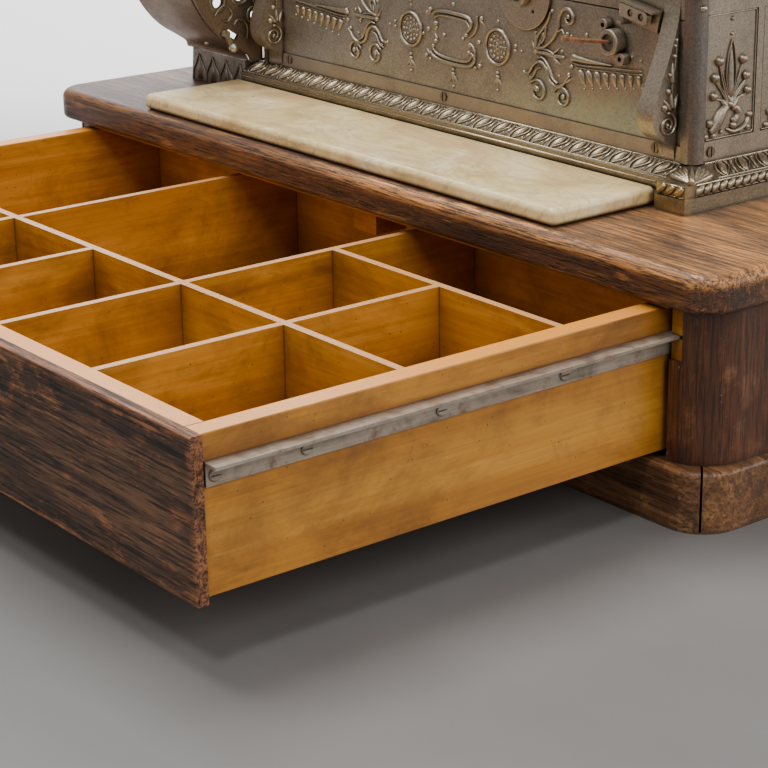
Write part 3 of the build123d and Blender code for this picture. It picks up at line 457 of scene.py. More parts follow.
def glass():
    """Clear, lightly smeared glass."""
    look = Look("window_glass")
    smear = look.noise(look.place((1, 1, 3)), 14.0, 5.0, 0.6, 0.8)
    look.bump(smear, 0.05, 0.0005)
    return look.finish((0.93, 0.97, 0.95), look.ramp(smear, (0.3, 0.02), (0.7, 0.10)),
                       Transmission_Weight=1.0, IOR=1.45)


def paper():
    """Yellowed paper."""
    look = Look("paper")
    fibre = look.cloud(500.0, 4.0, 0.6)
    age = look.cloud(30.0, 4.0, 0.6)
    colour = look.ramp(age, (0.3, (0.62, 0.52, 0.36)), (0.7, (0.78, 0.70, 0.55)))
    look.bump(fibre, 0.2, 0.0002)
    return look.finish(colour, look.ramp(fibre, (0.3, 0.8), (0.7, 0.9)))


def enamel(name, base, rough=0.3):
    """Aged enamel with small chips."""
    look = Look(name)
    age = look.cloud(60.0, 6.0, 0.65, 0.3)
    colour = look.ramp(age, (0.30, scaled(base, 0.78)), (0.56, base))
    chips = look.ramp(look.cells(look.place(), 320.0), (0.05, 0.8), (0.10, 0.0))
    colour = look.mix(chips, colour, (0.10, 0.08, 0.06))
    look.bump(age, 0.12, 0.0003)
    return look.finish(colour, look.ramp(age, (0.3, rough + 0.2), (0.6, rough)), Coat_Weight=0.25)


# The level direction the camera looks along is (-VIEW_X, VIEW_Y).
VIEW_X = 0.788
VIEW_Y = 0.615


def floor_look():
    """Grey near the object, and pale far behind it: painted light standing in for a floor lit brighter at
    the back.
    """
    look = Look("floor")
    cloud = look.cloud(1.6, 6.0, 0.6, 0.5)
    away = look.minus(look.times(look.axis("Y"), VIEW_Y), look.times(look.axis("X"), VIEW_X))
    near = look.ramp(cloud, (0.30, (0.155, 0.147, 0.142)), (0.70, (0.205, 0.197, 0.190)))
    # painted light: the floor turns pale far behind the object along the view direction
    colour = look.mix(look.above(away, 0.62, 0.50), near, (0.90, 0.90, 0.90))
    look.bump(cloud, 0.1, 0.002)
    return look.finish(colour, look.ramp(cloud, (0.3, 0.5), (0.7, 0.62)))


OAK = ((0.040, 0.012, 0.004), (0.115, 0.040, 0.013), (0.24, 0.095, 0.030))
POST_OAK = ((0.036, 0.010, 0.003), (0.095, 0.028, 0.008), (0.18, 0.060, 0.018))
PLINTH_OAK = ((0.070, 0.024, 0.008), (0.20, 0.084, 0.030), (0.40, 0.19, 0.070))
BLACK_OAK = ((0.018, 0.009, 0.006), (0.10, 0.047, 0.024), (0.26, 0.120, 0.055))
WORN_OAK = (0.58, 0.245, 0.065)
RUST_BROWN = (0.36, 0.135, 0.050)


def make_materials():
    """One material for each record slot, and some for single nodes."""
    return {
        "oak_top": wood("oak_top", "x", OAK, WORN_OAK, top_wear, 240.0, pores=0.85, depth=0.0005),
        "oak_upright": wood("oak_upright", "z", POST_OAK, (0.24, 0.095, 0.035), speckled),
        "oak_plinth": wood("oak_plinth", "x", PLINTH_OAK, (0.42, 0.22, 0.095), speckled),
        "oak_side": wood("oak_side", "y", OAK, (0.42, 0.20, 0.080), speckled),
        "oak_front": wood("oak_front", "x", BLACK_OAK, RUST_BROWN, front_wear, 170.0, 0.50, 0.06, 0.8,
                          0.0006),
        "pine_x": pine("pine_x", "x"),
        "pine_y": pine("pine_y", "y"),
        "plain_pine": pine("plain_pine", "x", 0.92),
        "worn_steel": worn_steel(),
        "marble": marble(),
        "nickel_case": nickel("nickel_case"),
        "nickel_panel": nickel("nickel_panel", (0.37, 0.325, 0.265),
                               tints=((coppery_strip, (0.38, 0.29, 0.22)),
                                      (verdigris, (0.40, 0.45, 0.36)))),
        "nickel_relief": nickel("nickel_relief", (0.41, 0.345, 0.26), ridges=True, rough=0.34),
        "nickel_pilaster": nickel("nickel_pilaster", (0.24, 0.21, 0.18), 0.3, 0.32),
        "nickel_base": nickel("nickel_base", (0.29, 0.24, 0.165), 0.1, 0.30,
                              tints=((golden_corner, (0.55, 0.37, 0.12)),)),
        "base_relief": nickel("base_relief", (0.43, 0.35, 0.23), 0.1, 0.30, True,
                              ((golden_corner, (0.80, 0.52, 0.14)),)),
        "nickel_bay": nickel("nickel_bay", (0.30, 0.225, 0.165), 0.35, 0.36),
        "bay_relief": nickel("bay_relief", (0.24, 0.20, 0.13), 0.2, 0.40),
        "nickel_foot": nickel("nickel_foot", (0.32, 0.275, 0.23), 0.1, 0.40),
        "case_screw": plain_metal("case_screw", (0.30, 0.22, 0.15), 0.4),
        "window_glass": glass(),
        "rusty_iron": rusty_iron("rusty_iron"),
        "lock_key": rusty_iron("lock_key", -0.1185),
        "bright_nickel": plain_metal("bright_nickel", (0.62, 0.54, 0.42), 0.24),
        "paper": paper(),
        "bell_brass": plain_metal("bell_brass", (0.62, 0.46, 0.20), 0.3),
        "key_metal": plain_metal("key_metal", (0.52, 0.47, 0.38), 0.28),
        "tablet_enamel": enamel("tablet_enamel", (0.80, 0.78, 0.70)),
        "key_face": enamel("key_face", (0.78, 0.73, 0.60), 0.28),
        "ink": enamel("ink", (0.03, 0.028, 0.026), 0.35),
    }


MATERIALS = make_materials()
OWN_LOOK = {
    "corner_posts": "oak_upright", "plinth_boards": "oak_plinth", "side_boards": "oak_side",
    "drawer_sides": "pine_y", "long_dividers": "pine_y", "cross_dividers": "pine_x",
    "drawer_inner_front": "pine_x", "drawer_back": "pine_x", "drawer_bottom": "pine_x",
    "case_base": "nickel_base", "bay_cover": "nickel_bay", "bay_frame": "nickel_bay",
    "bay_foot": "nickel_foot", "front_panel": "nickel_panel", "corner_pilasters": "nickel_pilaster",
    "upper_key": "lock_key", "lower_key": "lock_key", "hasp_strap": "bright_nickel",
    "bay_hook": "bright_nickel",
}


def dress_nodes():
    """Gives every CAD node its material."""
    slots = {row["node"]: row["material_slot"] for row in frame["record"]["subparts"]}
    for node, thing in NODES.items():
        material = MATERIALS[OWN_LOOK.get(node, slots[node])]
        thing.data.materials.clear()
        thing.data.materials.append(material)


# ---- Relief ornament -----------------------------------------------------------------------
class Relief:
    """Raised ornament drawn in millimetres on a flat field: (across, up, height)."""

    def __init__(self, across, up, out, origin):
        self.across = Vector(across)
        self.up = Vector(up)
        self.out = Vector(out)
        self.origin = Vector(origin)
        self.verts = []
        self.faces = []
        self.flip = self.across.cross(self.up).dot(self.out) < 0

    def point(self, u, v, h):
        self.verts.append(self.origin + (self.across * u + self.up * v + self.out * h) * MM)
        return len(self.verts) - 1

    def face(self, *corners):
        self.faces.append(corners[::-1] if self.flip else corners)

    def rib(self, path, width, height, closed=False, sides=6, power=1.0):
        """A half-round rib along a path; width and height are numbers or functions of 0..1."""
        count = len(path)
        rows = []
        for index, (u, v) in enumerate(path):
            before = path[index - 1] if index or closed else path[index]
            after = path[(index + 1) % count] if closed else path[min(index + 1, count - 1)]
            way = hypot(after[0] - before[0], after[1] - before[1]) or 1.0
            side = (-(after[1] - before[1]) / way, (after[0] - before[0]) / way)
            along = index / max(1, count - 1)
            half = (width(along) if callable(width) else width) / 2
            tall = height(along) if callable(height) else height
            row = []
            for step in range(sides + 1):
                angle = pi * step / sides
                reach = half * cos(angle)
                row.append(self.point(u - side[0] * reach, v - side[1] * reach,
                                      tall * sin(angle) ** power - 0.15))
            rows.append(row)
        last = count if closed else count - 1
        for index in range(last):
            here, there = rows[index], rows[(index + 1) % count]
            for step in range(sides):
                self.face(here[step], there[step], there[step + 1], here[step + 1])
        if not closed:
            self.face(*rows[0])
            self.face(*rows[-1][::-1])

    def curve(self, points, width, height, sides=6):
        """A rib along a smooth curve through the points."""
        self.rib(smooth(points), width, height, sides=sides)

    def ball(self, u, v, radius, tall=None, sides=10, rings=4):
        """A dome."""
        tall = tall or radius
        rows = []
        for ring in range(rings):
            angle = pi / 2 * ring / rings
            reach = radius * cos(angle)
            rows.append([
                self.point(u + reach * cos(2 * pi * s / sides), v + reach * sin(2 * pi * s / sides),
                           tall * sin(angle) - 0.1)
                for s in range(sides)
            ])
        top = self.point(u, v, tall - 0.1)
        for low, high in zip(rows[:-1], rows[1:]):
            for s in range(sides):
                t = (s + 1) % sides
                self.face(low[s], low[t], high[t], high[s])
        for s in range(sides):
            self.face(rows[-1][s], rows[-1][(s + 1) % sides], top)

    def drop(self, u, v, angle, length, width, height):
        """A teardrop leaf with its round end at (u, v)."""
        path = []
        for step in range(9):
            reach = length * step / 8
            path.append((u + reach * cos(angle), v + reach * sin(angle)))

        def swell(t):
            bulge = 0.25 + sin(pi * min(1.0, 0.15 + t * 0.85)) ** 0.8
            return width * bulge * (1 - 0.55 * t) + 0.1

        self.rib(path, swell, lambda t: height * max(0.12, 1 - t * t))

    def ring(self, u, v, radius, width, height, count=40):
        self.rib(circle(u, v, radius, count), width, height, closed=True)

    def beads(self, path, radius):
        for u, v in path:
            self.ball(u, v, radius, sides=8, rings=3)

    def done(self, name, material="nickel_relief", body="cabinet"):
        """Makes the piece and lets it ride on a body."""
        mesh = bpy.data.meshes.new(name)
        mesh.from_pydata(self.verts, [], self.faces)
        mesh.validate()
        for polygon in mesh.polygons:
            polygon.use_smooth = True
        thing = bpy.data.objects.new(name, mesh)
        bpy.context.scene.collection.objects.link(thing)
        mesh.materials.append(MATERIALS[material])
        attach(thing, body)
        return thing


def taper(width, tip=0.25):
    """Full in the middle, thin at both ends."""
    return lambda t: width * (tip + (1 - tip) * sin(pi * t) ** 0.7)


def fade(width, tip=0.3):
    """Full at the start, thin at the end."""
    return lambda t: width * (1 - (1 - tip) * t)


def circle(u, v, radius, count):
    """Evenly spaced points round (u, v)."""
    turns = [2 * pi * index / count for index in range(count)]
    return [(u + radius * cos(turn), v + radius * sin(turn)) for turn in turns]


def smooth(points, steps=7):
    """A Catmull-Rom curve through the points."""
    path = []
    ends = [points[0], *points, points[-1]]
    for a, b, c, d in zip(ends[:-3], ends[1:-2], ends[2:-1], ends[3:]):
        for step in range(steps):
            t = step / steps
            path.append(tuple(
                0.5 * (2 * q + (r - p) * t + (2 * p - 5 * q + 4 * r - s) * t * t
                       + (3 * q - p - 3 * r + s) * t ** 3)
                for p, q, r, s in zip(a, b, c, d)
            ))
    path.append(points[-1])
    return path


def spiral(u, v, outer, inner, start, end, steps=40):
    """A volute about (u, v) from one angle and radius to another. Angles in degrees."""
    path = []
    for step in range(steps + 1):
        t = step / steps
        angle = radians(start + (end - start) * t)
        reach = outer + (inner - outer) * t
        path.append((u + reach * cos(angle), v + reach * sin(angle)))
    return path


def rounded(u0, u1, v0, v1, radius=2.0):
    """A rectangle's outline with small round corners."""
    path = []
    corners = ((u1 - radius, v0 + radius, -90), (u1 - radius, v1 - radius, 0),
               (u0 + radius, v1 - radius, 90), (u0 + radius, v0 + radius, 180))
    for u, v, start in corners:
        path += spiral(u, v, radius, radius, start, start + 90, 4)
    return path


def turned(heading, side):
    """A heading in degrees as an angle, turned to the left where side is -1."""
    return radians(heading if side > 0 else 180 - heading)


def mirrored(path, u, v, side):
    """Offsets from (u, v), turned to the left where side is -1."""
    return [(u + side * a, v + b) for a, b in path]


def cartouche(relief, u, v):
    """Two facing double straps with curled ends, and clusters of beads."""
    top = smooth([(-24.5, 15.0), (-19.0, 17.8), (-7.0, 18.6), (14.0, 17.6), (20.5, 14.5), (20.6, 10.0),
                  (17.0, 6.0)])
    low = smooth([(-27.0, -14.5), (-23.0, -18.0), (-13.5, -20.2), (4.0, -21.0), (19.0, -19.8),
                  (25.0, -15.0), (23.5, -10.0)])
    for path, lift in ((top, -4.2), (low, 4.2)):
        relief.rib(mirrored(path, u, v, 1), taper(3.4, 0.5), 2.4)
        inner = [(a * 0.90 - 0.5, b + lift * (0.8 if abs(b) > 12 else 0.2)) for a, b in path]
        relief.rib(mirrored(inner, u, v, 1), taper(2.6, 0.4), 1.8)
    right = smooth([(28.5, 20.0), (28.0, 13.0), (24.5, 6.0), (19.0, 2.0)])
    right_low = smooth([(19.5, -2.0), (23.5, -4.5), (25.5, -9.0), (25.0, -14.0)])
    for path in (right, right_low):
        relief.rib(mirrored(path, u, v, 1), taper(2.2, 0.5), 2.0)
    beads = ((-28.0, 18.0, 2.2), (-32.0, 15.2, 1.6), (-30.4, 2.4, 2.0), (-21.2, 8.0, 2.3),
             (-11.5, 0.2, 1.9), (-21.3, -5.8, 2.2), (-24.8, -10.0, 1.6), (-33.0, -18.4, 1.9),
             (-28.5, -20.8, 1.6), (33.0, 18.5, 2.0), (19.0, 9.6, 2.3), (15.0, 3.5, 2.0), (11.2, 0.2, 1.5),
             (30.0, 0.0, 2.0), (20.0, -3.8, 2.2), (18.0, -9.8, 1.8), (25.6, -20.2, 1.8),
             (31.0, -18.0, 2.2))
    for a, b, radius in beads:
        relief.ball(u + a, v + b, radius, radius * 1.15)
    for a, b, heading in ((-28, 16, 215), (-20, 6, 240), (-20, -4, 130), (-29, -17, 140), (31, 17, -40),
                          (29, -18, 50)):
        relief.drop(u + a, v + b, radians(heading), 6.5, 2.6, 1.5)


def medallion(relief, u, v):
    """A ringed oval with a flower and a circle of beads."""
    relief.ring(u, v, 13.2, 2.8, 2.6)
    relief.ring(u, v, 10.8, 1.2, 0.8)
    relief.beads(circle(u, v, 8.6, 12), 1.45)
    relief.beads(circle(u, v, 5.4, 8), 1.1)
    for index in range(6):
        angle = pi / 3 * index
        relief.drop(u + 1.0 * cos(angle), v + 1.0 * sin(angle), angle, 3.6, 2.2, 1.2)


def pendant(relief, u, v):
    """A small bell flower under a bead."""
    relief.ball(u, v, 1.7, 2.0)
    relief.ball(u, v - 3.6, 2.1, 2.4)
    for angle, length in ((-132, 8.0), (-90, 6.5), (-48, 8.0)):
        relief.drop(u, v - 4.5, radians(angle), length, 2.9, 1.9)
    relief.ball(u, v - 13.4, 1.5, 1.8)


def wing(relief, u, v, side):
    """Scrolls and a gadrooned feather, drawn outwards from (u, v)."""
    def rib(path, width, height):
        relief.rib(mirrored(path, u, v, side), width, height)

    def curve(points, width, height):
        rib(smooth(points), width, height)

    curve([(0, 2.9), (9.5, 5.0), (18.0, 11.5), (23.5, 20.0), (25.0, 29.0), (29.0, 34.6), (35.5, 35.4),
           (39.6, 31.0), (38.2, 26.0), (33.8, 25.4), (32.2, 28.6)], taper(3.2, 0.55), 2.5)
    relief.ball(u + side * 34.6, v + 30.0, 2.0, 2.4)
    curve([(1.0, 5.0), (2.0, 12.0), (8.0, 18.5), (13.0, 25.0), (15.5, 31.0)], taper(2.8, 0.4), 2.0)
    curve([(6.0, 6.5), (9.0, 12.0), (11.0, 20.0)], taper(2.4, 0.4), 1.8)
    curve([(22.0, 17.0), (27.5, 19.5), (31.0, 16.5)], taper(2.0, 0.4), 1.8)
    curve([(-2.5, 0.4), (10.0, 0.2), (22.0, -0.4), (31.0, 0.2)], taper(3.6, 0.5), 2.2)
    curve([(-1.0, 1.0), (6.0, 3.2), (14.0, 2.6), (20.0, 0.6)], taper(2.2, 0.4), 1.9)
    curve([(-12.5, -17.0), (-7.0, -16.5), (-2.5, -10.5), (3.0, -7.0), (8.0, -7.6), (12.5, -12.0),
           (15.5, -19.0), (22.0, -22.2), (29.5, -20.5), (34.0, -15.5), (37.2, -12.5)], taper(3.0, 0.5),
          2.3)
    curve([(2.0, -4.0), (8.0, -3.6), (14.0, -9.0), (18.5, -17.0), (24.0, -20.0)], taper(2.6, 0.4), 2.1)
    curve([(-9.0, -21.5), (-4.0, -20.0), (1.0, -13.0), (6.0, -11.0)], taper(2.2, 0.4), 1.9)
    rib(spiral(2.6, -29.0, 9.0, 4.0, 150, -250), taper(2.8, 0.5), 2.3)
    relief.ball(u + side * 1.8, v - 27.5, 2.8, 3.0)
    rib(spiral(29.0, -30.0, 8.6, 3.6, 160, -240), taper(2.6, 0.5), 2.2)
    relief.ball(u + side * 30.2, v - 29.0, 2.4, 2.7)
    for a, b, heading, length, width in ((0, 3, 95, 12, 3.6), (3, 4, 70, 9, 3.0), (-1, 2, 125, 8, 2.8),
                                         (20, 2, 40, 8, 2.6), (20, -2, -35, 8, 2.6),
                                         (12, -10, -60, 9, 3.0), (33, -18, 35, 7, 2.8)):
        relief.drop(u + side * a, v + b, turned(heading, side), length, width, 2.1)
    beads = ((0, 0, 2.3), (-13, -17, 1.5), (-23, 1, 1.5), (-16.3, -2, 1.2), (33.5, 17.5, 1.7),
             (31.5, 15.5, 1.3), (37.5, 16.5, 1.3), (53.5, 19.5, 1.6), (16.8, 32, 1.6), (7.8, 14, 1.6),
             (-0.5, 14.3, 1.5), (100, 10, 1.2), (109, 8.7, 1.2), (96, 6.8, 1.1), (39, 0, 1.9),
             (38.5, -5.6, 2.0), (22, -4.8, 1.4), (28, 4.0, 1.4), (15.5, -12.0, 1.3), (35.5, -12.0, 1.8),
             (25.0, -14.5, 1.3), (-6.0, -20.0, 1.4))
    for a, b, radius in beads:
        relief.ball(u + side * a, v + b, radius, radius * 1.15)
    curve([(39, 1.2), (53, 0.6), (68, 0.8), (81, 1.4)], fade(5.6, 0.15), 2.4)
    curve([(40, -2.6), (52, -3.0), (70, -1.4), (92, 0.2), (111, 1.6)], taper(1.8, 0.4), 1.6)
    curve([(43, -5.6), (70, -4.2), (111, -1.2)], 1.2, 1.2)
    for index in range(8):
        t = index / 7
        reach = 47.3 + 60.6 * t
        length = 13.0 - 4.6 * t
        heading = radians(-64 - 26 * t)
        level = v - 7.0 + 4.6 * t
        relief.drop(u + side * reach, level, heading if side > 0 else pi - heading, length, 5.4 - 1.2 * t,
                    2.6)
        relief.ball(u + side * (reach + length * 0.36), level - length * 0.99, 1.0, 1.1, 8, 3)


def panel_ornament(relief, centre, level, locks):
    """The whole composition: cartouche, medallions, pendants and wings."""
    cartouche(relief, centre + 0.5, level)
    for side in (-1, 1):
        medallion(relief, centre + side * 52.0, level - 0.5)
        relief.ball(centre + side * 52.0, level + 18.6, 1.4)
        if not (locks and side > 0):
            relief.ball(centre + side * 52.0, level + 23.0, 2.0)
            relief.drop(centre + side * 52.0, level + 24.0, radians(90), 6.0, 3.0, 1.8)
        pendant(relief, centre + side * 52.0, level - 20.0)
        relief.ball(centre + side * 71.5, level - 1.0, 1.7)
        relief.ball(centre + side * 36.5, level - 2.0, 1.5)
        wing(relief, centre + side * 95.0, level + 2.0, side)
    pendant(relief, centre, level - 25.0)
    relief.ball(centre, level + 25.0, 1.9)


def front_ornament():
    """The chased relief of the lower front sheet."""
    relief = Relief(RIGHT, UP, FORWARD, (0, FACE_Y, 0))
    panel_ornament(relief, CASE_MID / MM, PANEL_MIDDLE, True)
    relief.done("front_ornament")


def rear_ornament():
    """The same relief on the rear sheet, and frames round the rear window."""
    relief = Relief(LEFT, UP, BACKWARD, (0, SIDES_HIGH.y, 0))
    panel_ornament(relief, -CASE_MID / MM, PANEL_MIDDLE, False)
    relief.rib(rounded(-250, 240, 208, 312, 4), 2.4, 1.6, closed=True)
    relief.done("rear_ornament")


def side_palmette(relief, u):
    """A palmette of a leaf and six berries, over leafy scrolls."""
    relief.drop(u, 245.0, radians(90), 39.0, 6.2, 2.6)
    for side in (-1, 1):
        relief.curve([(u + side * 1.0, 243), (u + side * 4.6, 258), (u + side * 3.4, 274), (u, 285)],
                     taper(1.3, 0.5), 1.7)
    for top, radius in ((288.5, 1.5), (299.0, 1.7)):
        relief.ball(u, top, radius, radius * 1.2)
    for a, z, radius in ((-12.0, 271.0, 3.7), (-16.0, 260.0, 3.7), (-16.6, 247.0, 3.5),
                         (11.5, 269.8, 3.7), (15.0, 258.0, 3.6), (17.0, 247.4, 3.4)):
        lean = 1 if a > 0 else -1
        for offset in (0.0, 1.8):
            bend = (u + lean * (2.0 + offset) + a * 0.34, 240 + (z - 240) * 0.48)
            relief.curve([(u + lean * (1.2 + offset * 0.5), 240), bend, (u + a, z - radius * 0.6)],
                         fade(1.9, 0.6), 1.7)
        relief.ball(u + a, z, radius, radius * 1.2, 14, 6)
    relief.ball(u, 239.5, 2.8, 3.4)
    for side in (-1, 1):
        relief.drop(u + side * 2.0, 237.0, radians(90 - side * 48), 12.0, 4.6, 2.6)
        relief.drop(u, 240.5, radians(90 - side * 20), 8.0, 3.4, 3.0)
    lobe = smooth([(-2.0, 238.0), (-7.0, 235.5), (-10.5, 230.5), (-14.0, 226.0), (-19.0, 221.5)])
    relief.rib([(u + a, z) for a, z in lobe], taper(10.0, 0.45), taper(4.2, 0.5), sides=10)
    curl = smooth([(2.0, 236.5), (7.0, 235.5), (9.0, 231.0), (5.5, 227.0), (2.5, 229.5)])
    relief.rib([(u + a, z) for a, z in curl], taper(6.4, 0.5), taper(3.2, 0.5), sides=8)
    tail = smooth([(-3.0, 222.5), (4.0, 219.8), (12.0, 221.0), (17.0, 224.0), (19.5, 228.5)])
    relief.rib([(u + a, z) for a, z in tail], taper(4.0, 0.5), taper(2.8, 0.5), sides=8)
    for a, z, radius in ((-20.0, 228.5, 3.2), (-23.5, 219.6, 2.4), (-16.0, 219.4, 2.6), (4.0, 224.0, 3.0),
                         (20.0, 229.6, 2.8), (18.2, 221.0, 2.6), (11.5, 219.4, 2.0), (-8.0, 221.0, 1.8)):
        relief.ball(u + a, z, radius, radius * 1.1, 12, 5)


UPPER_SCROLL = ((0, 0), (14, 10), (26, 32), (44, 44), (58, 32), (50, 18), (40, 24), (44, 32))


def side_ornament():
    """Framed palmettes down both sides of the lower case, and a border round the upper."""
    edges = (-100.0, -44.0, 22.0, 88.0, 154.0)
    field_depth = 1.2 * MM
    for name, x, out in (("right", SIDES_HIGH.x, 1), ("left", SIDES_LOW.x, -1)):
        relief = Relief(BACKWARD, UP, RIGHT * out, (x - out * field_depth, 0, 0))
        for near, far in zip(edges[:-1], edges[1:]):
            middle = (near + far) / 2
            if near > 0 or out > 0:
                side_palmette(relief, middle)
            relief.rib(rounded(near + 4.0, far - 4.0, 217.0, 303.2), 1.4, 1.2, closed=True)
        relief.done(f"{name}_side_ornament")
        upper = Relief(BACKWARD, UP, RIGHT * out, (x, 0, 0))
        rear = 178.0
        upper.rib(rounded(12, rear, 352, 536, 22), 4.0, 2.4, closed=True)
        upper.rib(rounded(18, rear - 6, 358, 530, 18), 1.6, 1.4, closed=True)
        middle = (12 + rear) / 2
        for turn in (-1, 1):
            for lift in (1, -1):
                path = smooth([(a, b * lift) for a, b in UPPER_SCROLL])
                upper.rib(mirrored(path, middle, 440, turn), taper(5.0, 0.4), 3.0)
            for heading in (60, 35, -35, -60):
                angle = turned(heading, turn)
                upper.drop(middle + 8 * cos(angle), 440 + 8 * sin(angle), angle, 24, 7, 2.8)
        medallion(upper, middle, 440)
        upper.done(f"{name}_upper_ornament")


def bracket_ornament():
    """A volute, leaves and berries on the sides of both scrolled brackets."""
    width = 15.0 * MM
    faces = (("outer_right", BRACKET_HIGH.x, 1), ("inner_right", BRACKET_HIGH.x - width, -1),
             ("inner_left", BRACKET_LOW.x + width, 1), ("outer_left", BRACKET_LOW.x, -1))
    for name, x, out in faces:
        relief = Relief(BACKWARD, UP, RIGHT * out, (x, 0, 0))
        relief.rib(spiral(-118.6, 229.0, 8.6, 1.6, 95, -520, 56), fade(2.6, 0.5), 2.0)
        relief.ball(-118.6, 229.0, 1.8, 2.2)
        for a, z, heading, length, wide in ((-113.5, 240.0, 62, 11, 4.4), (-114.5, 240.5, 95, 14, 5.0),
                                            (-116.5, 240.0, 130, 9, 4.2), (-115.0, 258.0, 88, 14, 4.6)):
            relief.drop(a, z, radians(heading), length, wide, 2.6)
        relief.curve([(-115.0, 242), (-115.5, 256), (-113.0, 272), (-112.0, 288)], fade(1.6, 0.5), 1.8)
        for a, z, radius in ((-121.8, 241.5, 2.6), (-118.4, 252.5, 2.3), (-117.0, 263.5, 1.8),
                             (-112.8, 276.0, 1.8), (-112.2, 283, 1.4)):
            relief.ball(a, z, radius, radius * 1.2)
        relief.done(f"bracket_ornament_{name}")


def bay_ornament():
    """Rings and scrolls on the paper bay's cheeks, and leaves on its foot."""
    for name, x, out in (("right", BAY_HIGH.x, 1), ("left", BAY_LOW.x, -1)):
        relief = Relief(BACKWARD, UP, RIGHT * out, (x, 0, 0))
        for u, v, radius in ((-117.4, 242.5, 3.8), (-154.0, 257.0, 5.0), (-131.0, 262.0, 6.5),
                             (-166.0, 290.0, 7.0), (-138.0, 294.0, 8.0)):
            relief.ring(u, v, radius + 2.4, 3.6, 1.2)
        relief.curve([(-158, 246), (-152, 252), (-145, 253), (-140, 246), (-145, 240), (-150, 242)],
                     taper(2.8, 0.5), 1.8)
        relief.curve([(-126, 223), (-124.5, 231), (-127.5, 238), (-135, 240), (-139, 236)],
                     taper(2.6, 0.5), 1.8)
        relief.curve([(-146, 268), (-150, 276), (-146, 284), (-152, 292), (-158, 300)], taper(3.0, 0.5),
                     1.8)
        relief.curve([(-118, 252), (-116, 264), (-120, 276), (-118, 290)], taper(3.0, 0.4), 1.8)
        relief.done(f"bay_cheek_ornament_{name}", "bay_relief")
    leaves = Relief(RIGHT, UP, FORWARD, (0, FOOT_LOW.y, 0))
    left = FOOT_LOW.x / MM + 18.0
    for index in range(4):
        u = left + 21.0 * index
        for half in (-1, 1):
            edge = smooth([(u + half * 10.2, TOP_HIGH.z / MM + 1.5), (u + half * 9.4, 183.0),
                           (u + half * 4.0, 191.0), (u, 198.0)])
            leaves.rib(edge, taper(2.0, 0.5), 1.4)
        leaves.rib([(u, 176.0), (u, 186.0), (u, 196.5)], fade(9.0, 0.1), fade(1.6, 0.5), sides=8)
    leaves.done("foot_leaves", "nickel_foot")
    rivet = Relief((1, 0, 0), (0, 0.55, 0.83), (0, -0.83, 0.55), (0, -0.1296, 0.2128))
    rivet.ball(-305.0, 0.0, 3.0, 2.0, 14, 5)
    rivet.done("bay_cover_rivet", "bright_nickel", "bay_cover")


def egg_band(relief, start, end, v0, v1, pitch=21.4):
    """Egg and dart between two lines."""
    count = max(1, round((end - start) / pitch))
    step = (end - start) / count
    middle = (v0 + v1) / 2
    relief.rib([(start, v1 - 0.6), (end, v1 - 0.6)], 1.6, 1.0)
    relief.rib([(start, v0 + 0.4), (end, v0 + 0.4)], 1.3, 0.9)
    for index in range(count):
        u = start + (index + 0.5) * step
        lean = 2.6
        relief.curve([(u - lean, v0 + 1.6), (u, middle), (u + lean, v1 - 1.6)], taper(6.4, 0.25),
                     taper(3.0, 0.3), sides=8)
        for side in (-1, 1):
            path = smooth([(u - lean * 1.3 + side * 1.5, v0 + 1.0), (u + side * 5.6 - 0.5, middle - 1.5),
                           (u + side * 6.2 + 1.2, middle + 2.5), (u + lean + side * 3.4, v1 - 1.2)])
            relief.rib(path, 1.2, 1.5)
        dart = u + step / 2
        relief.rib([(dart - 1.6, v0 + 1.4), (dart, middle), (dart + 1.4, v1 - 1.6)], taper(2.2, 0.3), 1.5)
        relief.rib([(dart - 4.2, v0 + 1.6), (dart - 3.4, middle - 1)], 0.8, 0.9)
        relief.ball(dart + 2.6, v1 - 3.4, 0.9, 1.0, 8, 3)


def rope_bead(relief, start, end, v0, v1, pitch=7.7):
    """Slanting strands between two lines."""
    count = max(1, round((end - start) / pitch))
    step = (end - start) / count
    for index in range(count):
        u = start + (index + 0.5) * step
        path = smooth([(u - 3.4, v0 + 0.4), (u - 1.2, (v0 + v1) / 2 - 1.0),
                       (u + 1.2, (v0 + v1) / 2 + 1.0), (u + 3.4, v1 - 0.4)], 4)
        relief.rib(path, taper(5.4, 0.45), taper(2.9, 0.35), sides=8)
    for v in (v0, v1):
        relief.rib([(start, v), (end, v)], 0.9, 0.9)


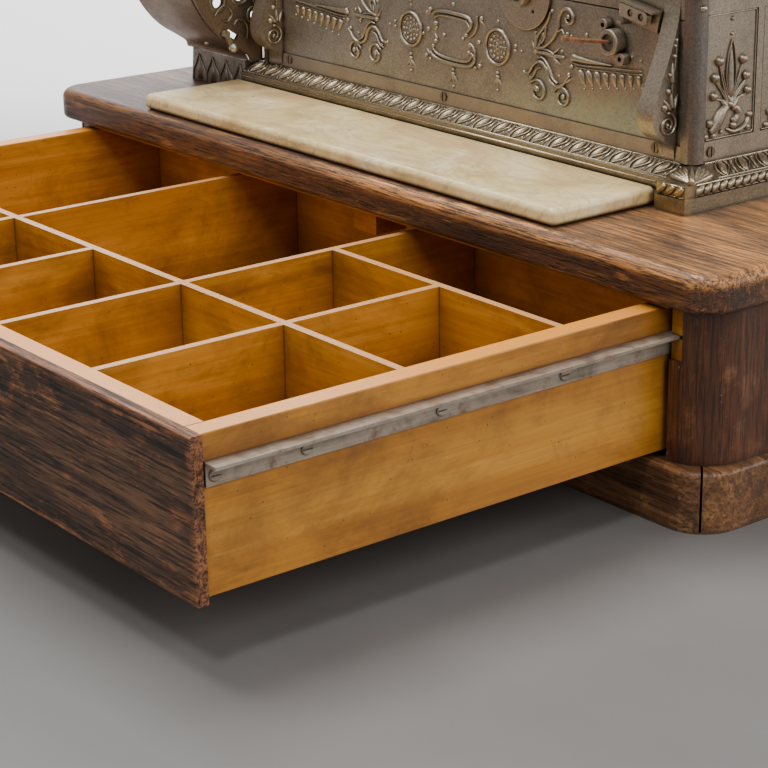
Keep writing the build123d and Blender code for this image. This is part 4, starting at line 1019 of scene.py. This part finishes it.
def base_ornament():
    """Egg-and-dart and rope on the moulding round the case's foot."""
    z_fillet = BASE_LOW.z + 10.9 * MM
    z_bead = z_fillet + 8.6 * MM
    out_bead = 16.9
    rise = (BASE_HIGH.z - z_bead) / MM
    run = out_bead - 0.3
    length = hypot(rise, run)
    x0, x1 = SIDES_LOW.x, SIDES_HIGH.x
    y0, y1 = FACE_Y, SIDES_HIGH.y
    rope_low, rope_high = z_fillet / MM + 0.6, z_bead / MM - 0.4
    sides = (
        ("front", RIGHT, FORWARD, (0, y0, 0), FOOT_HIGH.x / MM + 2, x1 / MM - 9),
        ("right", BACKWARD, RIGHT, (x1, 0, 0), y0 / MM + 11, y1 / MM + 2),
        ("rear", LEFT, BACKWARD, (0, y1, 0), -x1 / MM - 2, -x0 / MM + 2),
        ("left", FORWARD, LEFT, (x0, 0, 0), -y1 / MM - 2, 58.0),
    )
    for name, across, out, origin, start, end in sides:
        foot = Vector(origin) + out * out_bead * MM
        foot.z = z_bead
        slope_up = (UP * rise - out * run) / length
        normal = (UP * run + out * rise) / length
        relief = Relief(across, slope_up, normal, foot)
        egg_band(relief, start, end, 1.2, length - 1.2)
        if name in ("front", "right"):
            root = x1 / MM + 14.5 if name == "front" else y0 / MM - 14.5
            for lean, reach in ((140, 19.0), (151, 19.5), (162, 20.0), (173, 20.5)):
                way = radians(lean if name == "front" else 180 - lean)
                relief.drop(root + reach * cos(way), 2.0 + reach * sin(way) * 0.85, way + pi, reach, 4.6,
                            3.6)
        relief.done(f"{name}_egg_band", "base_relief")
        foot.z = 0.0
        bead = Relief(across, UP, out, foot)
        if name == "front":
            bead.rib([(start, z_bead / MM - 3.2), (244.0, z_bead / MM - 3.2)], 1.4, 0.9)
        else:
            rope_bead(bead, start - 24 * (name == "right"), end + 14 * (name != "left"), rope_low,
                      rope_high)
        bead.done(f"{name}_rope", "base_relief")
    block = Relief(RIGHT, UP, FORWARD, (0, BASE_LOW.y + 2 * MM, 0))
    rope_bead(block, 252.0, 277.0, rope_low, rope_high)
    block.done("corner_rope", "base_relief")
    mitre = Vector((1, -1, 0)).normalized()
    reach = out_bead * 2 ** 0.5
    slant = hypot(rise, reach)
    up = (Vector((0, 0, rise)) - mitre * reach) / slant
    out = (Vector((0, 0, reach)) + mitre * rise) / slant
    foot = Vector((x1, y0, z_bead)) + mitre * reach * MM
    corner = Relief((cos(pi / 4), sin(pi / 4), 0), up, out, foot)
    corner.drop(0, 1.0, pi / 2, 22.0, 5.0, 4.2)
    corner.done("corner_palmette", "base_relief")


def board_ornament():
    """Borders and rings on the sloping keyboard, frames and rosettes on the hood, and the sign's relief."""
    board = Relief(RIGHT, KEY_SLOPE, KEY_LIFT, (CASE_MID, PLATE_LOW.y, SILL_HIGH.z))
    board.rib(rounded(-236, 236, 8, 124, 6), 3.0, 2.0, closed=True)
    for along, places in ((34.0, (-128, -64, 0, 64, 128)), (88.0, (-96, -32, 32, 96))):
        for u in places:
            board.ring(u, along, 8.5, 2.6, 2.0, 32)
            board.ring(u, along, 13.5, 1.6, 1.2, 40)
    for side in (-1, 1):
        curl = smooth([(150, 60), (166, 74), (184, 92), (204, 98), (218, 84), (210, 68), (196, 74),
                       (202, 84)])
        board.rib([(side * a, b) for a, b in curl], taper(5.0, 0.4), 3.0)
        low_curl = smooth([(150, 60), (168, 50), (184, 34), (202, 26), (216, 38), (208, 50), (198, 44)])
        board.rib([(side * a, b) for a, b in low_curl], taper(5.0, 0.4), 3.0)
        for lean in (-50, -20, 20, 50):
            board.drop(side * 152, 60, turned(lean, side), 22, 6, 2.6)
    board.done("keyboard_ornament")
    for name, across, out, y, low, high in (("front", RIGHT, FORWARD, HOOD_LOW.y, 470, 522),
                                            ("rear", LEFT, BACKWARD, SIDES_HIGH.y, 456, 512)):
        face = Relief(across, UP, out, (CASE_MID, y, 0))
        face.rib(rounded(-181, 181, low - 5, high + 5, 4), 5.0, 3.2, closed=True)
        face.rib(rounded(-187, 187, low - 11, high + 11, 6), 1.8, 1.6, closed=True)
        face.beads([(-176 + 16 * index, low - 18) for index in range(23)], 2.0)
        for side in (-1, 1):
            medallion(face, side * 214, (low + high) / 2 + 6)
            pendant(face, side * 214, (low + high) / 2 - 16)
        face.done(f"{name}_window_frame")
    for name, across, out, y in (("front", RIGHT, FORWARD, SIGN_LOW.y),
                                 ("rear", LEFT, BACKWARD, SIGN_HIGH.y)):
        crest = Relief(across, UP, out, (CASE_MID, y - out.y * SIGN_INSET, 0))
        low = SIGN_LOW.z / MM + 13.0
        medallion(crest, 0, low + 30)
        for side in (-1, 1):
            curl = smooth([(20, low + 22), (40, low + 10), (66, low + 14), (80, low + 28), (68, low + 38),
                           (58, low + 28), (66, low + 24)])
            crest.rib([(side * a, b) for a, b in curl], taper(5.0, 0.4), 3.0)
            for lean in (10, 35, 60):
                crest.drop(side * 18, low + 30, turned(lean, side), 22, 6, 2.6)
        crest.rib([(-118, low - 3), (118, low - 3)], 3.0, 2.0)
        crest.done(f"sign_relief_{name}")


def cap_place(node):
    """The centre of a key's top face."""
    corners = [vertex.co for vertex in NODES[node].data.vertices]
    top = max(corner.dot(KEY_LIFT) for corner in corners)
    face = [corner for corner in corners if corner.dot(KEY_LIFT) > top - 0.3 * MM]
    return sum(face, Vector()) / len(face)


def numeral(name, text, size, place, across, up, body):
    """A raised numeral on a key or a tablet."""
    curve = bpy.data.curves.new(name, "FONT")
    curve.body = text
    curve.size = size
    curve.extrude = 0.00025
    curve.align_x = "CENTER"
    curve.align_y = "CENTER"
    curve.materials.append(MATERIALS["ink"])
    thing = bpy.data.objects.new(name, curve)
    bpy.context.scene.collection.objects.link(thing)
    out = across.cross(up)
    thing.matrix_world = Matrix.Translation(place) @ Matrix((across, up, out)).transposed().to_4x4()
    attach(thing, body)


def key_faces():
    """An ivory face with a numeral in every key, and numerals on both sides of the tablets."""
    for index in range(1, 10):
        key = f"key_{index}"
        centre = cap_place(key)
        rim = Relief(RIGHT, KEY_SLOPE, KEY_LIFT, centre)
        rim.ring(0, 0, 11.4, 2.6, 1.6, 48)
        rim.done(f"key_rim_{index}", "key_metal", key)
        ivory = Relief(RIGHT, KEY_SLOPE, KEY_LIFT, centre)
        ivory.ball(0, 0, 10.6, 0.9, 40, 3)
        ivory.done(f"key_face_{index}", "key_face", key)
        numeral(f"key_number_{index}", str(index), 0.013, centre + KEY_LIFT * 0.0009, RIGHT, KEY_SLOPE,
                key)
        tablet = f"tablet_{index}"
        low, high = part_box(tablet)
        middle = (low.x + high.x) / 2
        level = high.z - 0.020
        for side, across in (("front", RIGHT), ("back", LEFT)):
            place = Vector((middle, TABLET_Y - across.x * 0.8 * MM, level))
            numeral(f"tablet_number_{side}_{index}", str(index), 0.024, place, across, UP, tablet)


def screw_head(relief, u, v, radius, tall):
    """A domed head with a slot."""
    relief.ball(u, v, radius, tall, 16, 4)
    relief.rib([(u - radius * 0.8, v), (u + radius * 0.8, v)], radius * 0.28, tall * 1.12)


def small_fittings():
    """Screws in the hasp, and ball-headed screws on the pilasters."""
    tilt = radians(10)
    across = Vector((cos(tilt), 0, -sin(tilt)))
    up = Vector((sin(tilt), 0, cos(tilt)))
    hasp = Relief(across, up, (0, -1, 0), (0.199, -0.1184, 0.3034))
    for u in (9.5, 20.0):
        screw_head(hasp, u, 0, 2.3, 0.8)
    hasp.done("hasp_screws", "case_screw", "hasp_strap")
    balls = Relief(BACKWARD, UP, RIGHT, (SIDES_HIGH.x + 2.6 * MM, 0, 0))
    balls.ball(-105.0, 310.0, 2.6, 3.2, 14, 5)
    balls.ball(184.0, 310.0, 2.6, 3.2, 14, 5)
    balls.done("pilaster_screws", "bright_nickel")


# ---- Stage, light and camera ---------------------------------------------------------------
def make_stage():
    bpy.ops.mesh.primitive_plane_add(size=16.0, location=(0, 0, 0))
    floor = bpy.context.object
    floor.name = "floor"
    floor.data.materials.append(floor_look())
    backdrop_look = Look("backdrop")
    tone = backdrop_look.noise(backdrop_look.place(), 0.8, 3.0)
    colour = backdrop_look.ramp(tone, (0.3, (0.86, 0.86, 0.86)), (0.7, (0.90, 0.90, 0.90)))
    bpy.ops.mesh.primitive_plane_add(size=16.0, location=(-3.2, 2.8, 6.0),
                                     rotation=(radians(90), 0, radians(52)))
    backdrop = bpy.context.object
    backdrop.name = "backdrop"
    backdrop.data.materials.append(backdrop_look.finish(colour, 0.9))


def area_light(name, place, aim, size, power, tint=(1, 1, 1)):
    data = bpy.data.lights.new(name, "AREA")
    data.shape = "RECTANGLE"
    data.size, data.size_y = size
    data.energy = power
    data.color = tint
    thing = bpy.data.objects.new(name, data)
    thing.location = place
    thing.rotation_mode = "QUATERNION"
    thing.rotation_quaternion = (Vector(aim) - Vector(place)).to_track_quat("-Z", "Y")
    bpy.context.scene.collection.objects.link(thing)


def make_light():
    world = bpy.data.worlds.new("studio")
    bpy.context.scene.world = world
    world.use_nodes = True
    world.node_tree.nodes["Background"].inputs["Color"].default_value = (1.0, 0.985, 0.96, 1)
    world.node_tree.nodes["Background"].inputs["Strength"].default_value = 0.30
    area_light("over", (-0.6, -0.3, 2.4), (0, -0.2, 0.2), (1.5, 1.4), 64.0)
    area_light("right", (2.4, -0.4, 1.5), (0.1, -0.3, 0.2), (1.4, 1.4), 22.0, (1.0, 0.98, 0.95))
    area_light("front", (-0.4, -2.9, 1.4), (0, -0.3, 0.2), (2.0, 1.4), 9.0)
    area_light("right back", (1.9, 1.7, 1.0), (0.2, 0.0, 0.25), (1.6, 1.4), 22.0)
    area_light("sparkle", (0.9, -1.5, 2.1), (0, -0.1, 0.25), (0.45, 0.45), 16.0)
    area_light("back", (-1.9, 1.5, 1.9), (-2.2, 1.9, 0.0), (2.4, 2.4), 120.0)


def make_camera():
    data = bpy.data.cameras.new("camera")
    data.sensor_width = 36.0
    data.lens = 102.5
    data.clip_end = 60.0
    camera = bpy.data.objects.new("camera", data)
    bpy.context.scene.collection.objects.link(camera)
    yaw, pitch, roll = radians(-52.05), radians(19.29), radians(-0.81)
    ahead = Vector((sin(yaw) * cos(pitch), cos(yaw) * cos(pitch), -sin(pitch)))
    right = Vector((cos(yaw), -sin(yaw), 0))
    up = right.cross(ahead)
    rolled_right = right * cos(roll) + up * sin(roll)
    rolled_up = up * cos(roll) - right * sin(roll)
    camera.matrix_world = Matrix.Translation((1.2909, -1.1836, 0.5608)) @ Matrix(
        (rolled_right, rolled_up, -ahead)).transposed().to_4x4()
    bpy.context.scene.camera = camera


make_camera()
make_stage()
make_light()
dress_nodes()
front_ornament()
rear_ornament()
side_ornament()
bracket_ornament()
bay_ornament()
base_ornament()
board_ornament()
key_faces()
small_fittings()
